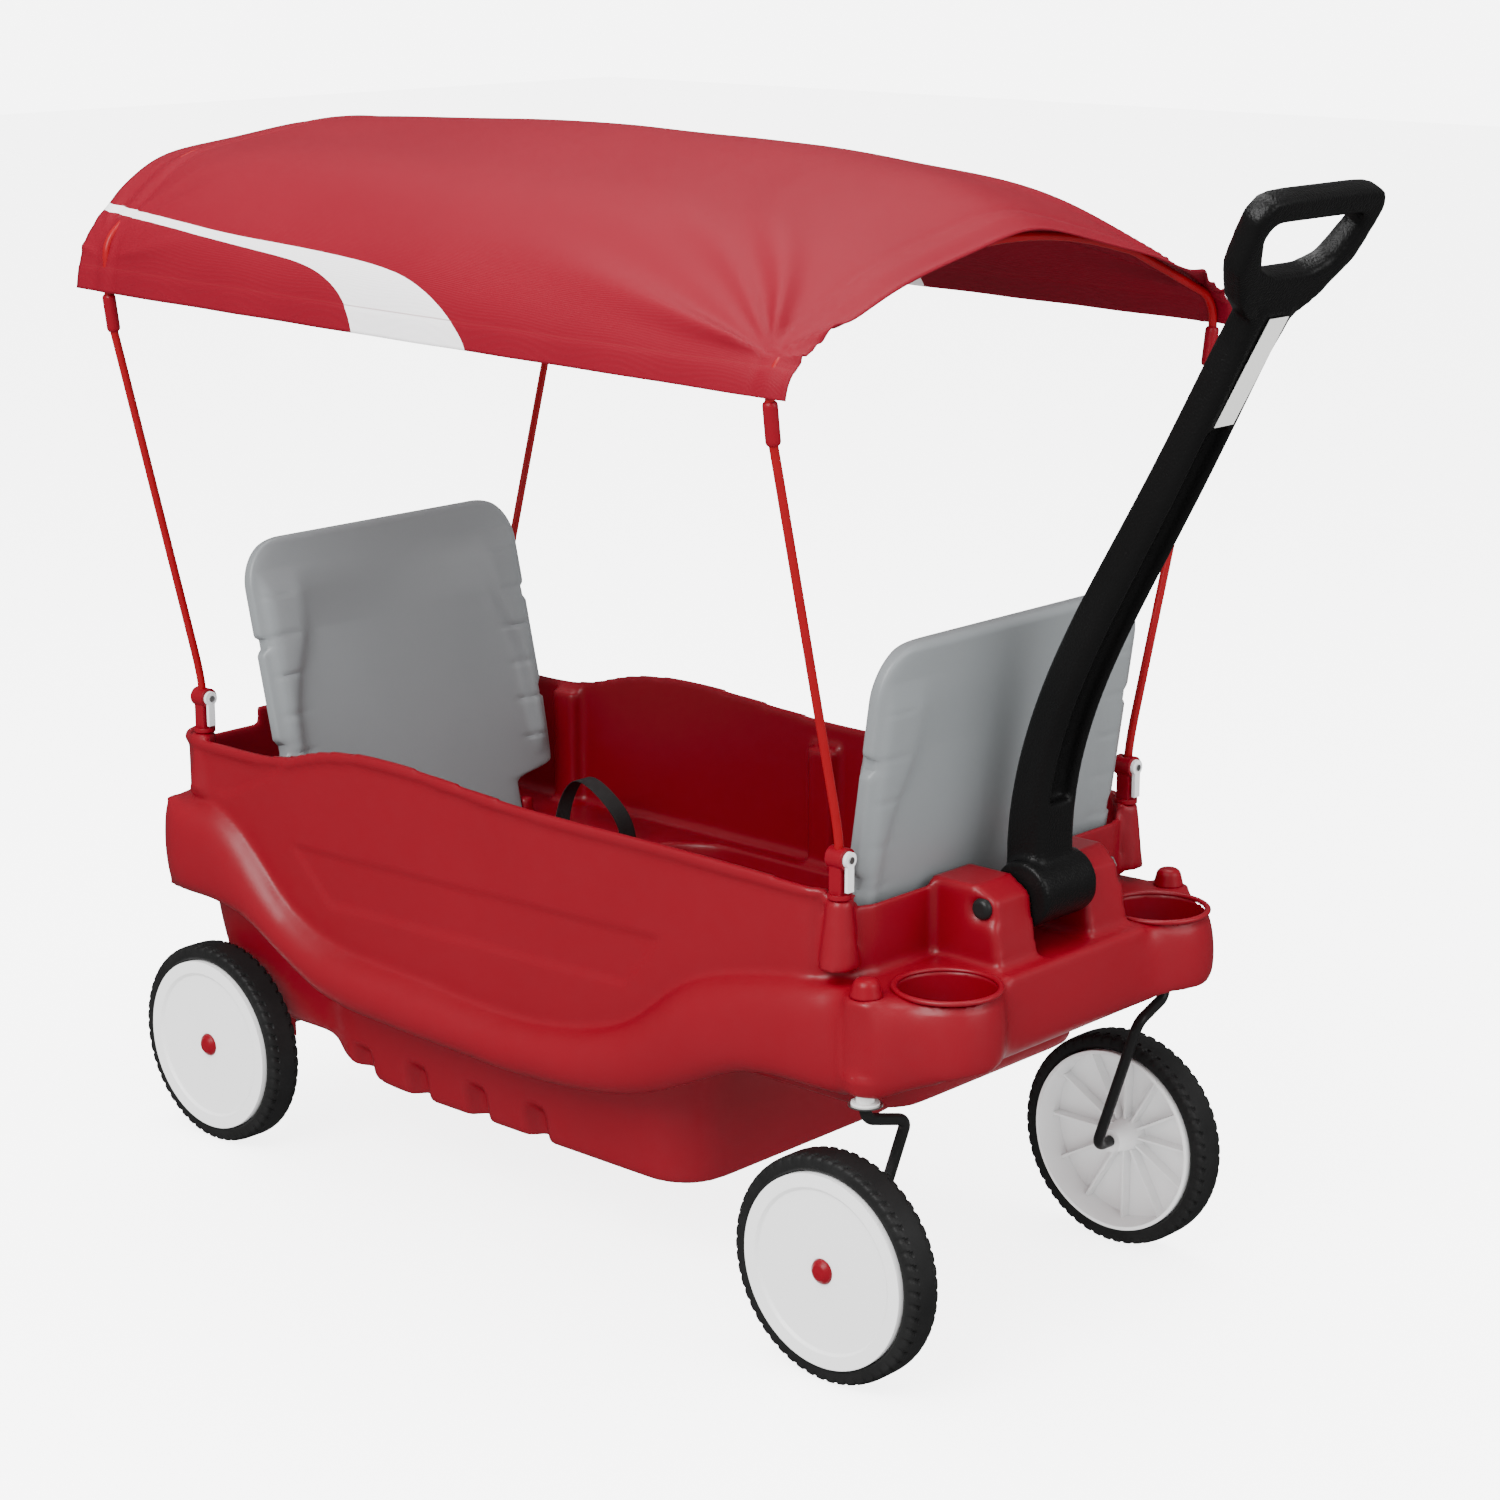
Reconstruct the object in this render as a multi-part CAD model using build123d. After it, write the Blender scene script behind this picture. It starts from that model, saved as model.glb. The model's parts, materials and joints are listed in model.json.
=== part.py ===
"""Kids pull wagon: tub, two folding seat backs, pull handle, swivel front casters, fixed rear wheels, lift-off canopy.

Millimetres. +X is forward (the handle end), +Y is the rider's left, +Z is up and Z = 0 is the ground.
Each function builds one piece, and the list at the end names every piece that is written.
"""
import math
import os

from build123d import *

# Clearances between pieces
RUNNING = 0.05  # shaft in a bore that turns
LOOSE = 0.4  # soft or moving surfaces that pass each other
SEATED = 0.1  # pieces pushed together by hand

# Wheels and axles
TYRE_R = 117.5
TYRE_W = 39.0
RIM_R = 100.0
RIM_W = 44.0
RIM_WALL = 4.0
FACE_RING = 14.0  # radial width of the raised ring round the wheel face
FACE_DISH = 3.0  # depth of the disc below that ring
TYRE_SETBACK = 3.0
TREAD_GROOVE = 2.0
HUB_R = 20.0
HUB_END_R = 13.0
SPOKES = 12
AXLE_R = 6.0
CAP_R = 13.0
CAP_HEIGHT = 7.0
CAP_WELL = 9.0  # depth of the well in the hub that takes the cap
CLIP_R = 9.5
CLIP_T = 1.5
AXLE_END = 3.0  # axle stops this far behind the wheel face
SADDLE_Y = (128.0, 152.0)
SADDLE_HALF_L = 20.0
SADDLE_DROP = 14.0
SPACER_R = 9.0
AXLE_FRONT_X = 350.0
WHEELBASE = 958.0
FRONT_FACE_Y = 259.0  # outer face of a front wheel, from the centre plane
REAR_FACE_Y = 246.0

# Caster rods
PIVOT_X = 394.0
PIVOT_Y = 245.0
LEG_Y = 190.0  # inner leg of the caster rod
ELBOW_Z = 284.0
KNEE_Z = 270.0
KNEE_X = 400.0
ROD_BEND = 14.0
BUSH_WALL = 3.0
BUSH_FLANGE_R = 14.0
BUSH_FLANGE_T = 2.0
WASHER_R = 17.0
WASHER_T = 1.6
PIVOT_CAP_R = 16.0
PIVOT_CAP_H = 18.0

# Tub
WALL = 5.0
TUB_REAR_X = -660.0
TUB_FRONT_X = 360.0
TUB_HALF_W = 242.0
TUB_CORNER_R = 58.0
BENCH_Z = 338.0
FLOOR_Z = 107.0  # underside of the foot well
WELL_REAR_X = -250.0
WELL_FRONT_X = 100.0
HULL_HALF_W = 185.0
HULL_REAR_X = -470.0
HULL_CORNER_R = 55.0
HULL_DRAFT = 8.0
TAIL_REAR_X = -661.0
TAIL_Z = 150.0  # underside of the tail, where the rear axle hangs
BOW_FRONT_X = 400.0
BOW_HALF_W = 165.0
BOW_Z = 250.0
BUMPER_REAR_X = -688.0
BUMPER_FRONT_X = 462.0
BUMPER_HALF_W = 262.0
BUMPER_CORNER_R = 70.0
BOSS_PAD_R = 44.0
BOSS_PAD_Y = 220.0
LEDGE_Z = 408.0
PAD_Z = 302.0  # underside of the corner pads, round the caster pivots
PAD_R = 22.0
# side views of the bumper's lower and upper edges and of the tub's rim, as (x, z)
BUMPER_LOW = [(-720, 305), (-600, 300), (-530, 292), (-470, 264), (-400, 230), (-260, 216), (-110, 211),
              (10, 217), (100, 236), (170, 266), (235, 293), (310, 300), (385, 303), (440, 318), (520, 328)]
BUMPER_HIGH = [(-720, 420), (-610, 414), (-565, 402), (-515, 368), (-450, 312), (-385, 286), (-260, 276),
               (-110, 268), (0, 279), (90, 312), (150, 358), (227, 388), (320, 405), (520, LEDGE_Z)]
RIM_LINE = [(-720, 478), (-560, 485), (-436, 495), (-416, 501), (-110, 506), (100, 504), (420, 498)]
# underside of the hull along its length, as (x, z)
HULL_LINE = [(-720, 310), (-663, 270), (-638, 222), (-628, TAIL_Z), (-480, TAIL_Z), (-448, 130), (-400, 114),
             (-350, FLOOR_Z), (160, FLOOR_Z), (160, BOW_Z), (420, BOW_Z)]
FRONT_WALL_Z = 482.0
REAR_WALL_Z = 470.0
CROWN_HALF_W = 112.0  # raised middle of the rear wall
CROWN_Z = 492.0
LIP = 4.0  # rolled rim, outside the wall
LIP_H = 9.0
RIB_W = 36.0
RIB_DEPTH = 15.0
RIB_Z = 476.0
RIB_X = (-488.0, -75.0)

# Cup holders
CUP_R = 49.0
CUP_WALL = 4.0
CUP_X = 433.0
CUP_Y = 171.0
CUP_DEPTH = 84.0
CUP_BULGE_R = 56.0

# Handle and its tower
BARREL_X = 418.0
BARREL_Z = 466.0
BARREL_R = 34.0
BARREL_HALF_W = 42.0
EAR_T = 62.0
EAR_GAP = 1.0
EAR_TOP_Z = 488.0
EAR_TOP_X = 432.0
EAR_FOOT_X = 446.0
EAR_REAR_X = 355.0
BOLT_R = 5.0
BOLT_HEAD_R = 11.0
BOLT_HEAD_T = 7.0
NUT_R = 9.5
NUT_T = 7.0
POCKET_R = 15.0
POCKET_DEPTH = 6.0
HANDLE_BUSH_WALL = 2.5
ARM_X = 412.0
ARM_KNEE_Z = 617.0
ARM_TOP = (653.0, 1066.0)
ARM_BEND = 420.0
ARM_W = 60.0
ARM_T_LOW = 46.0
ARM_T_HIGH = 32.0
ARM_ROUND = 10.0
CHANNEL_W = 32.0
CHANNEL_DEPTH = 14.0
CHANNEL_SPAN = (0.14, 0.80)  # where the channel runs, as shares of the arm's length
GRIP_HALF_W = 102.0
GRIP_H = 117.0
GRIP_T = 26.0
GRIP_BAR = 26.0  # width of the bars round the hand opening
LABEL_W = 30.0
LABEL_L = 118.0
LABEL_T = 0.6

# Seat backs
# hinge x, hinge z and lean in degrees of each seat back
SEAT_REAR = (-481.0, 351.0, 13.0)
SEAT_FRONT = (321.0, 368.0, 8.0)
SEAT_LENGTH = 370.0
SEAT_HALF_W = 205.0
SEAT_TAB_HALF_W = 140.0
SEAT_TAB_LENGTH = 38.0
SEAT_T = 20.0
SEAT_CORNER_R = 55.0
SEAT_FOOT_R = 8.0  # rounds the foot edge, which turns close over the bench
SEAT_SKIN = 3.0
BOLSTER_W = 70.0
BOLSTER_RISE = 7.0
NOTCH = (16.0, 7.0)  # length and depth of the edge notches
PIN_R = 4.0
PIN_L = 40.0
LUG_T = 16.0
LUG_R = 11.0

# Lap belts
WEB_W = 25.0
WEB_T = 1.6
WEB_L = 120.0
BUCKLE = (34.0, 48.0, 6.0)
ANCHOR = (22.0, 30.0, 1.5)
ANCHOR_Y = 105.0
BELT_OFFSET = 62.0  # belts lie this far in front of the seat hinge

# Pole clamps
CLAMP_FRONT_X = 347.0
CLAMP_REAR_X = -607.0
CLAMP_Y = 230.0
CLAMP_FOOT_Z = 492.0
CLAMP_W = 15.0
CLAMP_HEAD_Z = 532.0
CLAMP_HEAD_R = 11.0
CLAMP_HEAD_HALF_L = 10.0
CLAMP_FOOT_R = 12.0
SOCKET_DEPTH = 46.0
RIVET_R = 2.0
RIVET_HEAD_R = 3.5
RIVET_HEAD_T = 1.2
LEVER_T = 4.0
LEVER_R = 8.0
LEVER_L = 32.0
LEVER_TAIL_W = 9.0

# Canopy
POLE_R = 4.5
POLE_BEND_Z = 564.0
POLE_TOP_Y = 343.0
POLE_SPLAY_Z = 918.0
POLE_BEND = 120.0
SLEEVE_R = 7.5
SLEEVE_L = 38.0
HEM_GAP = 2.0  # sleeves end this far below the hem
CLOTH = 2.0
BOW_FRONT_X = 358.0
BOW_REAR_X = -597.0
ARCH_BENDS = (34.0, 110.0, 700.0)
# frame line under the cloth: x, hem height, then (y, z) of shoulder and quarter, then ridge height
ARCHES = [(-640.0, 1002.0, (339.0, 1053.0), (238.0, 1133.0), 1159.0),
          (BOW_REAR_X, 1001.0, (POLE_TOP_Y, 1055.0), (237.0, 1139.0), 1166.0),
          (-490.0, 999.0, (342.0, 1058.0), (235.0, 1144.0), 1172.0),
          (-160.0, 993.0, (342.0, 1046.0), (235.0, 1140.0), 1180.0),
          (95.0, 989.0, (342.0, 1034.0), (230.0, 1126.0), 1170.0),
          (270.0, 986.0, (342.0, 1022.0), (215.0, 1104.0), 1154.0),
          (BOW_FRONT_X, 984.0, (POLE_TOP_Y, 1012.0), (200.0, 1072.0), 1120.0),
          (379.0, 984.0, (342.0, 1010.0), (200.0, 1065.0), 1109.0)]


def cylinder_y(radius, y0, y1, x, z):
    """A cylinder along Y from y0 to y1."""
    disc = Plane((x, min(y0, y1), z), x_dir=(1, 0, 0), z_dir=(0, 1, 0)) * Circle(radius)
    return extrude(disc, abs(y1 - y0))


def cylinder_z(radius, z0, z1, x, y):
    """A cylinder along Z from z0 to z1."""
    return Pos(x, y, (z0 + z1) / 2) * Cylinder(radius, z1 - z0)


def cylinder_x(radius, x0, x1, y, z):
    """A cylinder along X from x0 to x1."""
    return Pos((x0 + x1) / 2, y, z) * Rot(0, 90, 0) * Cylinder(radius, x1 - x0)


def block(x0, x1, y0, y1, z0, z1):
    """A box between two corners."""
    return Pos((x0 + x1) / 2, (y0 + y1) / 2, (z0 + z1) / 2) * Box(x1 - x0, y1 - y0, z1 - z0)


def rounded_block(x0, x1, half_w, z0, z1, radius, draft=0.0):
    """A rounded rectangle in plan, pulled up from z0 to z1, widening by the draft angle."""
    plan = Pos((x0 + x1) / 2, 0, z0) * RectangleRounded(x1 - x0, 2 * half_w, radius)
    return extrude(plan, z1 - z0, taper=-draft)


def side_profile(points, far_z, smooth=True):
    """The region between a side-view line and the level far_z, pulled through the whole width."""
    line = (Spline if smooth else Polyline)(*[(x, 0, z) for x, z in points])
    first, last = points[0], points[-1]
    closing = Polyline((last[0], 0, last[1]), (last[0], 0, far_z), (first[0], 0, far_z), (first[0], 0, first[1]))
    face = make_face([*line.edges(), *closing.edges()])
    return extrude(face, amount=2 * BUMPER_HALF_W, both=True)


def both_sides(build):
    """The same piece on the left and mirrored on the right."""
    left = build()
    return [left, mirror(left, about=Plane.XZ)]


# ---------------------------------------------------------------- tub


def bumper(inset):
    """The swept bumper band with its corner pads and cup bulges, all faces moved in by inset."""
    z0, z1 = 180.0, LEDGE_Z - inset
    body = rounded_block(BUMPER_REAR_X + inset, PIVOT_X, BUMPER_HALF_W - inset, z0, z1, BUMPER_CORNER_R - inset)
    body += block(PIVOT_X - 90, BUMPER_FRONT_X - inset, -CUP_Y, CUP_Y, z0, z1)
    for side in (-1, 1):
        body += cylinder_z(BOSS_PAD_R - inset, z0, z1, PIVOT_X, side * BOSS_PAD_Y)
        body += cylinder_z(CUP_BULGE_R - inset, z0, z1, CUP_X, side * CUP_Y)
    low = [(x, z + inset) for x, z in BUMPER_LOW]
    high = [(x, z - inset) for x, z in BUMPER_HIGH]
    body -= side_profile(low, 100.0)
    return body - side_profile(high, 600.0)


def hull(inset):
    """The narrow lower tub: foot well, tail over the rear axle and bow between the casters."""
    well = rounded_block(HULL_REAR_X + inset, WELL_FRONT_X + WALL - inset, HULL_HALF_W - inset,
                         FLOOR_Z + inset, BENCH_Z - inset, HULL_CORNER_R - inset, HULL_DRAFT)
    tail = rounded_block(TAIL_REAR_X + inset, HULL_REAR_X + 2 * HULL_CORNER_R, HULL_HALF_W - inset,
                         TAIL_Z + inset, BENCH_Z - inset, HULL_CORNER_R - inset, HULL_DRAFT)
    bow = rounded_block(WELL_FRONT_X - HULL_CORNER_R, BOW_FRONT_X - inset, BOW_HALF_W - inset,
                        BOW_Z + inset, BENCH_Z - inset, HULL_CORNER_R - inset, HULL_DRAFT / 2)
    whole = well + tail + bow
    return whole - side_profile([(x, z + inset) for x, z in HULL_LINE], 50.0, smooth=False)


def foot_well(outset, top):
    """The foot well's space, widened by outset."""
    return rounded_block(WELL_REAR_X - outset, WELL_FRONT_X + outset, HULL_HALF_W - WALL + outset,
                         FLOOR_Z + WALL - outset, top, HULL_CORNER_R - WALL, HULL_DRAFT)


def tub_ear(side):
    """One ear of the handle tower, with its sloping front."""
    inner = BARREL_HALF_W + EAR_GAP
    outline = Polyline((EAR_REAR_X, 0, LEDGE_Z - WALL), (EAR_FOOT_X, 0, LEDGE_Z - WALL),
                       (EAR_TOP_X, 0, EAR_TOP_Z - 14), (EAR_TOP_X - 22, 0, EAR_TOP_Z),
                       (EAR_REAR_X, 0, EAR_TOP_Z), close=True)
    ear = Pos(0, side * (inner + EAR_T / 2), 0) * extrude(make_face(outline.edges()), EAR_T / 2, both=True)
    outer = side * (inner + EAR_T)
    pocket = cylinder_y(POCKET_R, outer - side * POCKET_DEPTH, outer + side * 20, BARREL_X, BARREL_Z)
    pocket += block(BARREL_X, EAR_FOOT_X + 20, min(outer - side * POCKET_DEPTH, outer + side * 20),
                    max(outer - side * POCKET_DEPTH, outer + side * 20),
                    BARREL_Z - POCKET_R, BARREL_Z + POCKET_R)
    return ear - pocket


def tub_shell():
    """The moulded tub: double walled at the benches and the bumper, single walled elsewhere."""
    top = 520.0
    upper = rounded_block(TUB_REAR_X, TUB_FRONT_X, TUB_HALF_W, 240.0, top, TUB_CORNER_R)
    upper -= side_profile(RIM_LINE, top + 60)
    lip = rounded_block(TUB_REAR_X - LIP, TUB_FRONT_X + LIP, TUB_HALF_W + LIP, 440.0, top, TUB_CORNER_R + LIP)
    lip -= side_profile(RIM_LINE, top + 60)
    lip -= side_profile([(x, z - LIP_H) for x, z in RIM_LINE], 430.0)
    upper += lip
    front_cut = block(TUB_FRONT_X - 3 * WALL, TUB_FRONT_X + 2 * LIP, -CLAMP_Y + CLAMP_FOOT_R + 6,
                      CLAMP_Y - CLAMP_FOOT_R - 6, FRONT_WALL_Z, top)
    rear_cut = block(TUB_REAR_X - 2 * LIP, TUB_REAR_X + 3 * WALL, -CLAMP_Y + 40, CLAMP_Y - 40, REAR_WALL_Z, top)
    upper -= front_cut + rear_cut
    upper += block(TUB_REAR_X, TUB_REAR_X + 3 * WALL, -CROWN_HALF_W, CROWN_HALF_W, REAR_WALL_Z - 60, CROWN_Z)
    skirt_body = upper - side_profile([(x, z + WALL) for x, z in BUMPER_LOW], 100.0)
    outside = skirt_body + bumper(0) + hull(0)
    for side in (-1, 1):
        for x in (CLAMP_FRONT_X, CLAMP_REAR_X):
            foot = Cone(CLAMP_FOOT_R + 8, CLAMP_FOOT_R, 70)
            outside += Pos(x, side * CLAMP_Y, CLAMP_FOOT_Z - 35) * foot

    room = rounded_block(TUB_REAR_X + WALL, TUB_FRONT_X - WALL, TUB_HALF_W - WALL, BENCH_Z, 600.0,
                         TUB_CORNER_R - WALL)
    for side in (-1, 1):
        for x in (CLAMP_FRONT_X, CLAMP_REAR_X):
            room -= cylinder_z(CLAMP_FOOT_R, 400.0, CLAMP_FOOT_Z, x, side * CLAMP_Y)
    for side in (-1, 1):
        outside += cylinder_z(PAD_R, PAD_Z, PAD_Z + 30, PIVOT_X, side * PIVOT_Y)
        outside -= cylinder_z(PAD_R + 2, PAD_Z - 30, PAD_Z, PIVOT_X, side * PIVOT_Y)
        for x in (CLAMP_FRONT_X, CLAMP_REAR_X):
            outside -= cylinder_z(CLAMP_FOOT_R + 3, CLAMP_FOOT_Z, top + 60, x, side * CLAMP_Y)
    tub = outside - room - foot_well(0, BENCH_Z + 1)

    skin_above_bench = rounded_block(TUB_REAR_X, TUB_FRONT_X, TUB_HALF_W, BENCH_Z - WALL, 600.0, TUB_CORNER_R)
    hollow = bumper(WALL) + hull(WALL)
    hollow -= skin_above_bench + foot_well(WALL, BENCH_Z)
    hollow -= block(EAR_REAR_X, EAR_FOOT_X + WALL, -BARREL_HALF_W - EAR_GAP - EAR_T,
                    BARREL_HALF_W + EAR_GAP + EAR_T, LEDGE_Z - 3 * WALL, LEDGE_Z)
    for side in (-1, 1):
        hollow -= cylinder_z(CUP_R + CUP_WALL, BOW_Z, LEDGE_Z, CUP_X, side * CUP_Y)
        hollow -= cylinder_z(BUSH_FLANGE_R + WALL, BOW_Z, LEDGE_Z, PIVOT_X, side * PIVOT_Y)
    tub -= hollow

    for side in (-1, 1):
        tub += tub_ear(side)
    slot = block(TUB_FRONT_X - WALL, BARREL_X + BARREL_R + 40, -BARREL_HALF_W - EAR_GAP,
                 BARREL_HALF_W + EAR_GAP, LEDGE_Z, 560.0)
    tub -= slot
    bolt_hole = cylinder_y(BOLT_R + RUNNING, -200, 200, BARREL_X, BARREL_Z)
    tub -= bolt_hole
    for side in (-1, 1):
        tub -= cylinder_z(CUP_R, LEDGE_Z - CUP_DEPTH, LEDGE_Z + 20, CUP_X, side * CUP_Y)
        tub -= cylinder_z(AXLE_R + BUSH_WALL, BOW_Z, LEDGE_Z + 60, PIVOT_X, side * PIVOT_Y)
        rib_inner = side * (TUB_HALF_W - WALL - RIB_DEPTH)
        rib_outer = side * (TUB_HALF_W - WALL / 2)
        for x in RIB_X:
            tub += block(x - RIB_W / 2, x + RIB_W / 2, min(rib_inner, rib_outer), max(rib_inner, rib_outer),
                         BENCH_Z, RIB_Z)
        for x, z, _ in (SEAT_REAR, SEAT_FRONT):
            y0 = side * (SEAT_TAB_HALF_W + LOOSE)
            y1 = y0 + side * LUG_T
            lug = cylinder_y(LUG_R, y0, y1, x, z)
            lug += block(x - LUG_R, x + LUG_R, min(y0, y1), max(y0, y1), BENCH_Z, z)
            tub += lug - cylinder_y(PIN_R + SEATED, y0, y1, x, z)
    return tub


# ---------------------------------------------------------------- wheels


def ring(points, x, y, z):
    """A turned piece with its axis along Y. Points are (radius, distance in from the outer face)."""
    outline = Polyline(*[(r, 0, -w) for r, w in points], close=True)
    solid = revolve(make_face(outline.edges()), Axis.Z)
    return Pos(x, y, z) * Rot(-90, 0, 0) * solid


def tyre(x, face_y):
    """Tyre with rounded shoulders and three grooves round the tread, on the left side."""
    a, b = TYRE_SETBACK, TYRE_SETBACK + TYRE_W
    crown = TYRE_R
    shoulder = TYRE_R - 5
    points = [(RIM_R, a), (shoulder, a), (crown, a + 6)]
    for middle in (a + TYRE_W * 0.3, a + TYRE_W * 0.5, a + TYRE_W * 0.7):
        points += [(crown, middle - 1.5), (crown - TREAD_GROOVE, middle - 1),
                   (crown - TREAD_GROOVE, middle + 1), (crown, middle + 1.5)]
    points += [(crown, b - 6), (shoulder, b), (RIM_R, b)]
    return ring(points, x, face_y, TYRE_R)


def rim(x, face_y):
    """Wheel disc, rim wall, spoked back and hub in one moulding, on the left side."""
    bore = AXLE_R + RUNNING
    well = CAP_R + SEATED
    back = FACE_DISH + RIM_WALL
    outer = RIM_R - SEATED
    points = [(well, FACE_DISH), (outer - FACE_RING - 3, FACE_DISH), (outer - FACE_RING, 0), (outer, 0),
              (outer, RIM_W), (outer - RIM_WALL, RIM_W), (outer - RIM_WALL, back),
              (HUB_R, back), (HUB_END_R, RIM_W), (bore, RIM_W), (bore, CAP_WELL + FACE_DISH),
              (well, CAP_WELL + FACE_DISH)]
    solid = ring(points, x, face_y, TYRE_R)
    spoke = block(HUB_R - 2, outer - RIM_WALL + 1, -(back + 12), -(back - 1), -1.5, 1.5)
    for k in range(SPOKES):
        solid += Pos(x, face_y, TYRE_R) * Rot(0, 360 * k / SPOKES, 0) * spoke
    return solid


def hub_cap(x, face_y):
    """Domed cap over the axle end, pushed into the hub's well."""
    f = FACE_DISH
    points = [(0, f - CAP_HEIGHT), (CAP_R * 0.6, f - CAP_HEIGHT * 0.85), (CAP_R * 0.92, f - CAP_HEIGHT * 0.35),
              (CAP_R, f), (CAP_R, f + CAP_WELL - 1), (CLIP_R + 1, f + CAP_WELL - 1), (CLIP_R + 1, f - 1), (0, f - 1)]
    return ring(points, x, face_y, TYRE_R)


def axle_clip(x, face_y):
    """Push-on clip that keeps a wheel on its axle, inside the cap."""
    start = FACE_DISH + CAP_WELL - 2 * CLIP_T
    points = [(AXLE_R, start), (CLIP_R, start), (CLIP_R, start + CLIP_T), (AXLE_R, start + CLIP_T)]
    return ring(points, x, face_y, TYRE_R)


def rear_axle():
    """Straight rod under the tail, with a wheel on each end."""
    end = REAR_FACE_Y - AXLE_END
    return cylinder_y(AXLE_R, -end, end, AXLE_FRONT_X - WHEELBASE, TYRE_R)


def axle_saddle():
    """Block that hangs the rear axle below the tail, on the left."""
    x = AXLE_FRONT_X - WHEELBASE
    saddle = block(x - SADDLE_HALF_L, x + SADDLE_HALF_L, *SADDLE_Y, TYRE_R - SADDLE_DROP, TAIL_Z)
    return saddle - cylinder_y(AXLE_R, SADDLE_Y[0] - 5, SADDLE_Y[1] + 5, x, TYRE_R)


def axle_spacer():
    """Tube on the rear axle that keeps a wheel off its saddle, on the left."""
    tube = cylinder_y(SPACER_R, SADDLE_Y[1], REAR_FACE_Y - RIM_W - LOOSE, AXLE_FRONT_X - WHEELBASE, TYRE_R)
    return tube - cylinder_y(AXLE_R, 100, 300, AXLE_FRONT_X - WHEELBASE, TYRE_R)


# ---------------------------------------------------------------- casters


def caster_rod():
    """One bent rod: pivot, crank, leg and wheel axle, on the left."""
    path = FilletPolyline((PIVOT_X, PIVOT_Y, LEDGE_Z - 4), (PIVOT_X, PIVOT_Y, ELBOW_Z), (KNEE_X, LEG_Y, KNEE_Z),
                          (AXLE_FRONT_X, LEG_Y, TYRE_R), (AXLE_FRONT_X, FRONT_FACE_Y - AXLE_END, TYRE_R),
                          radius=ROD_BEND)
    start = Plane(origin=path @ 0, z_dir=path % 0)
    return sweep(start * Circle(AXLE_R), path=path)


def pivot_bush():
    """Flanged plastic bush in the corner pad, on the left."""
    low = PAD_Z
    bush = cylinder_z(AXLE_R + BUSH_WALL, low, LEDGE_Z - 6, PIVOT_X, PIVOT_Y)
    bush += cylinder_z(BUSH_FLANGE_R, low - BUSH_FLANGE_T, low, PIVOT_X, PIVOT_Y)
    return bush - cylinder_z(AXLE_R + RUNNING, low - 20, LEDGE_Z + 20, PIVOT_X, PIVOT_Y)


def pivot_washer():
    """Plated washer under the bush, round the caster rod."""
    top = PAD_Z - BUSH_FLANGE_T
    washer = cylinder_z(WASHER_R, top - WASHER_T, top, PIVOT_X, PIVOT_Y)
    return washer - cylinder_z(AXLE_R + RUNNING, top - 20, top + 20, PIVOT_X, PIVOT_Y)


def pivot_clip():
    """Push-on clip on top of the caster rod."""
    z = LEDGE_Z - 6
    clip = cylinder_z(CLIP_R - 1, z + RUNNING, z + CLIP_T, PIVOT_X, PIVOT_Y)
    return clip - cylinder_z(AXLE_R, z - 10, z + 10, PIVOT_X, PIVOT_Y)


def pivot_cap():
    """Red domed cap over the pivot, standing on the ledge."""
    dome = Pos(PIVOT_X, PIVOT_Y, LEDGE_Z + PIVOT_CAP_H / 2) * Cone(PIVOT_CAP_R, PIVOT_CAP_R * 0.72, PIVOT_CAP_H)
    dome = fillet(dome.edges().sort_by(Axis.Z)[-1], PIVOT_CAP_R * 0.5)
    return dome - cylinder_z(CLIP_R + 0.5, LEDGE_Z - 10, LEDGE_Z + 4, PIVOT_X, PIVOT_Y)


# ---------------------------------------------------------------- handle


def arm_path():
    """Centreline of the handle arm: upright at the barrel, then leaning forward."""
    return FilletPolyline((ARM_X, 0, BARREL_Z), (ARM_X, 0, ARM_KNEE_Z), (ARM_TOP[0], 0, ARM_TOP[1]),
                          radius=ARM_BEND)


def arm_loft(width, thick_low, thick_high, forward, start, end, radius, count=6):
    """A rounded bar along the arm's centreline, from start to end, moved forward off the centreline."""
    path = arm_path()
    sections = []
    for k in range(count):
        t = start + (end - start) * k / (count - 1)
        along = path % t
        across = Vector(along.Z, 0, -along.X)
        thick = thick_low + (thick_high - thick_low) * t
        shift = forward(t) if callable(forward) else forward
        plane = Plane(path @ t + across * shift, x_dir=across, z_dir=along)
        sections.append(plane * RectangleRounded(thick, width, radius))
    return loft(sections)


def grip_plane():
    """Plane of the grip loop: its Y runs on up the arm, its X is the rider's left."""
    along = arm_path() % 1
    across = Vector(along.Z, 0, -along.X)
    return Plane((ARM_TOP[0], 0, ARM_TOP[1]), x_dir=(0, 1, 0), z_dir=across)


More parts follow.
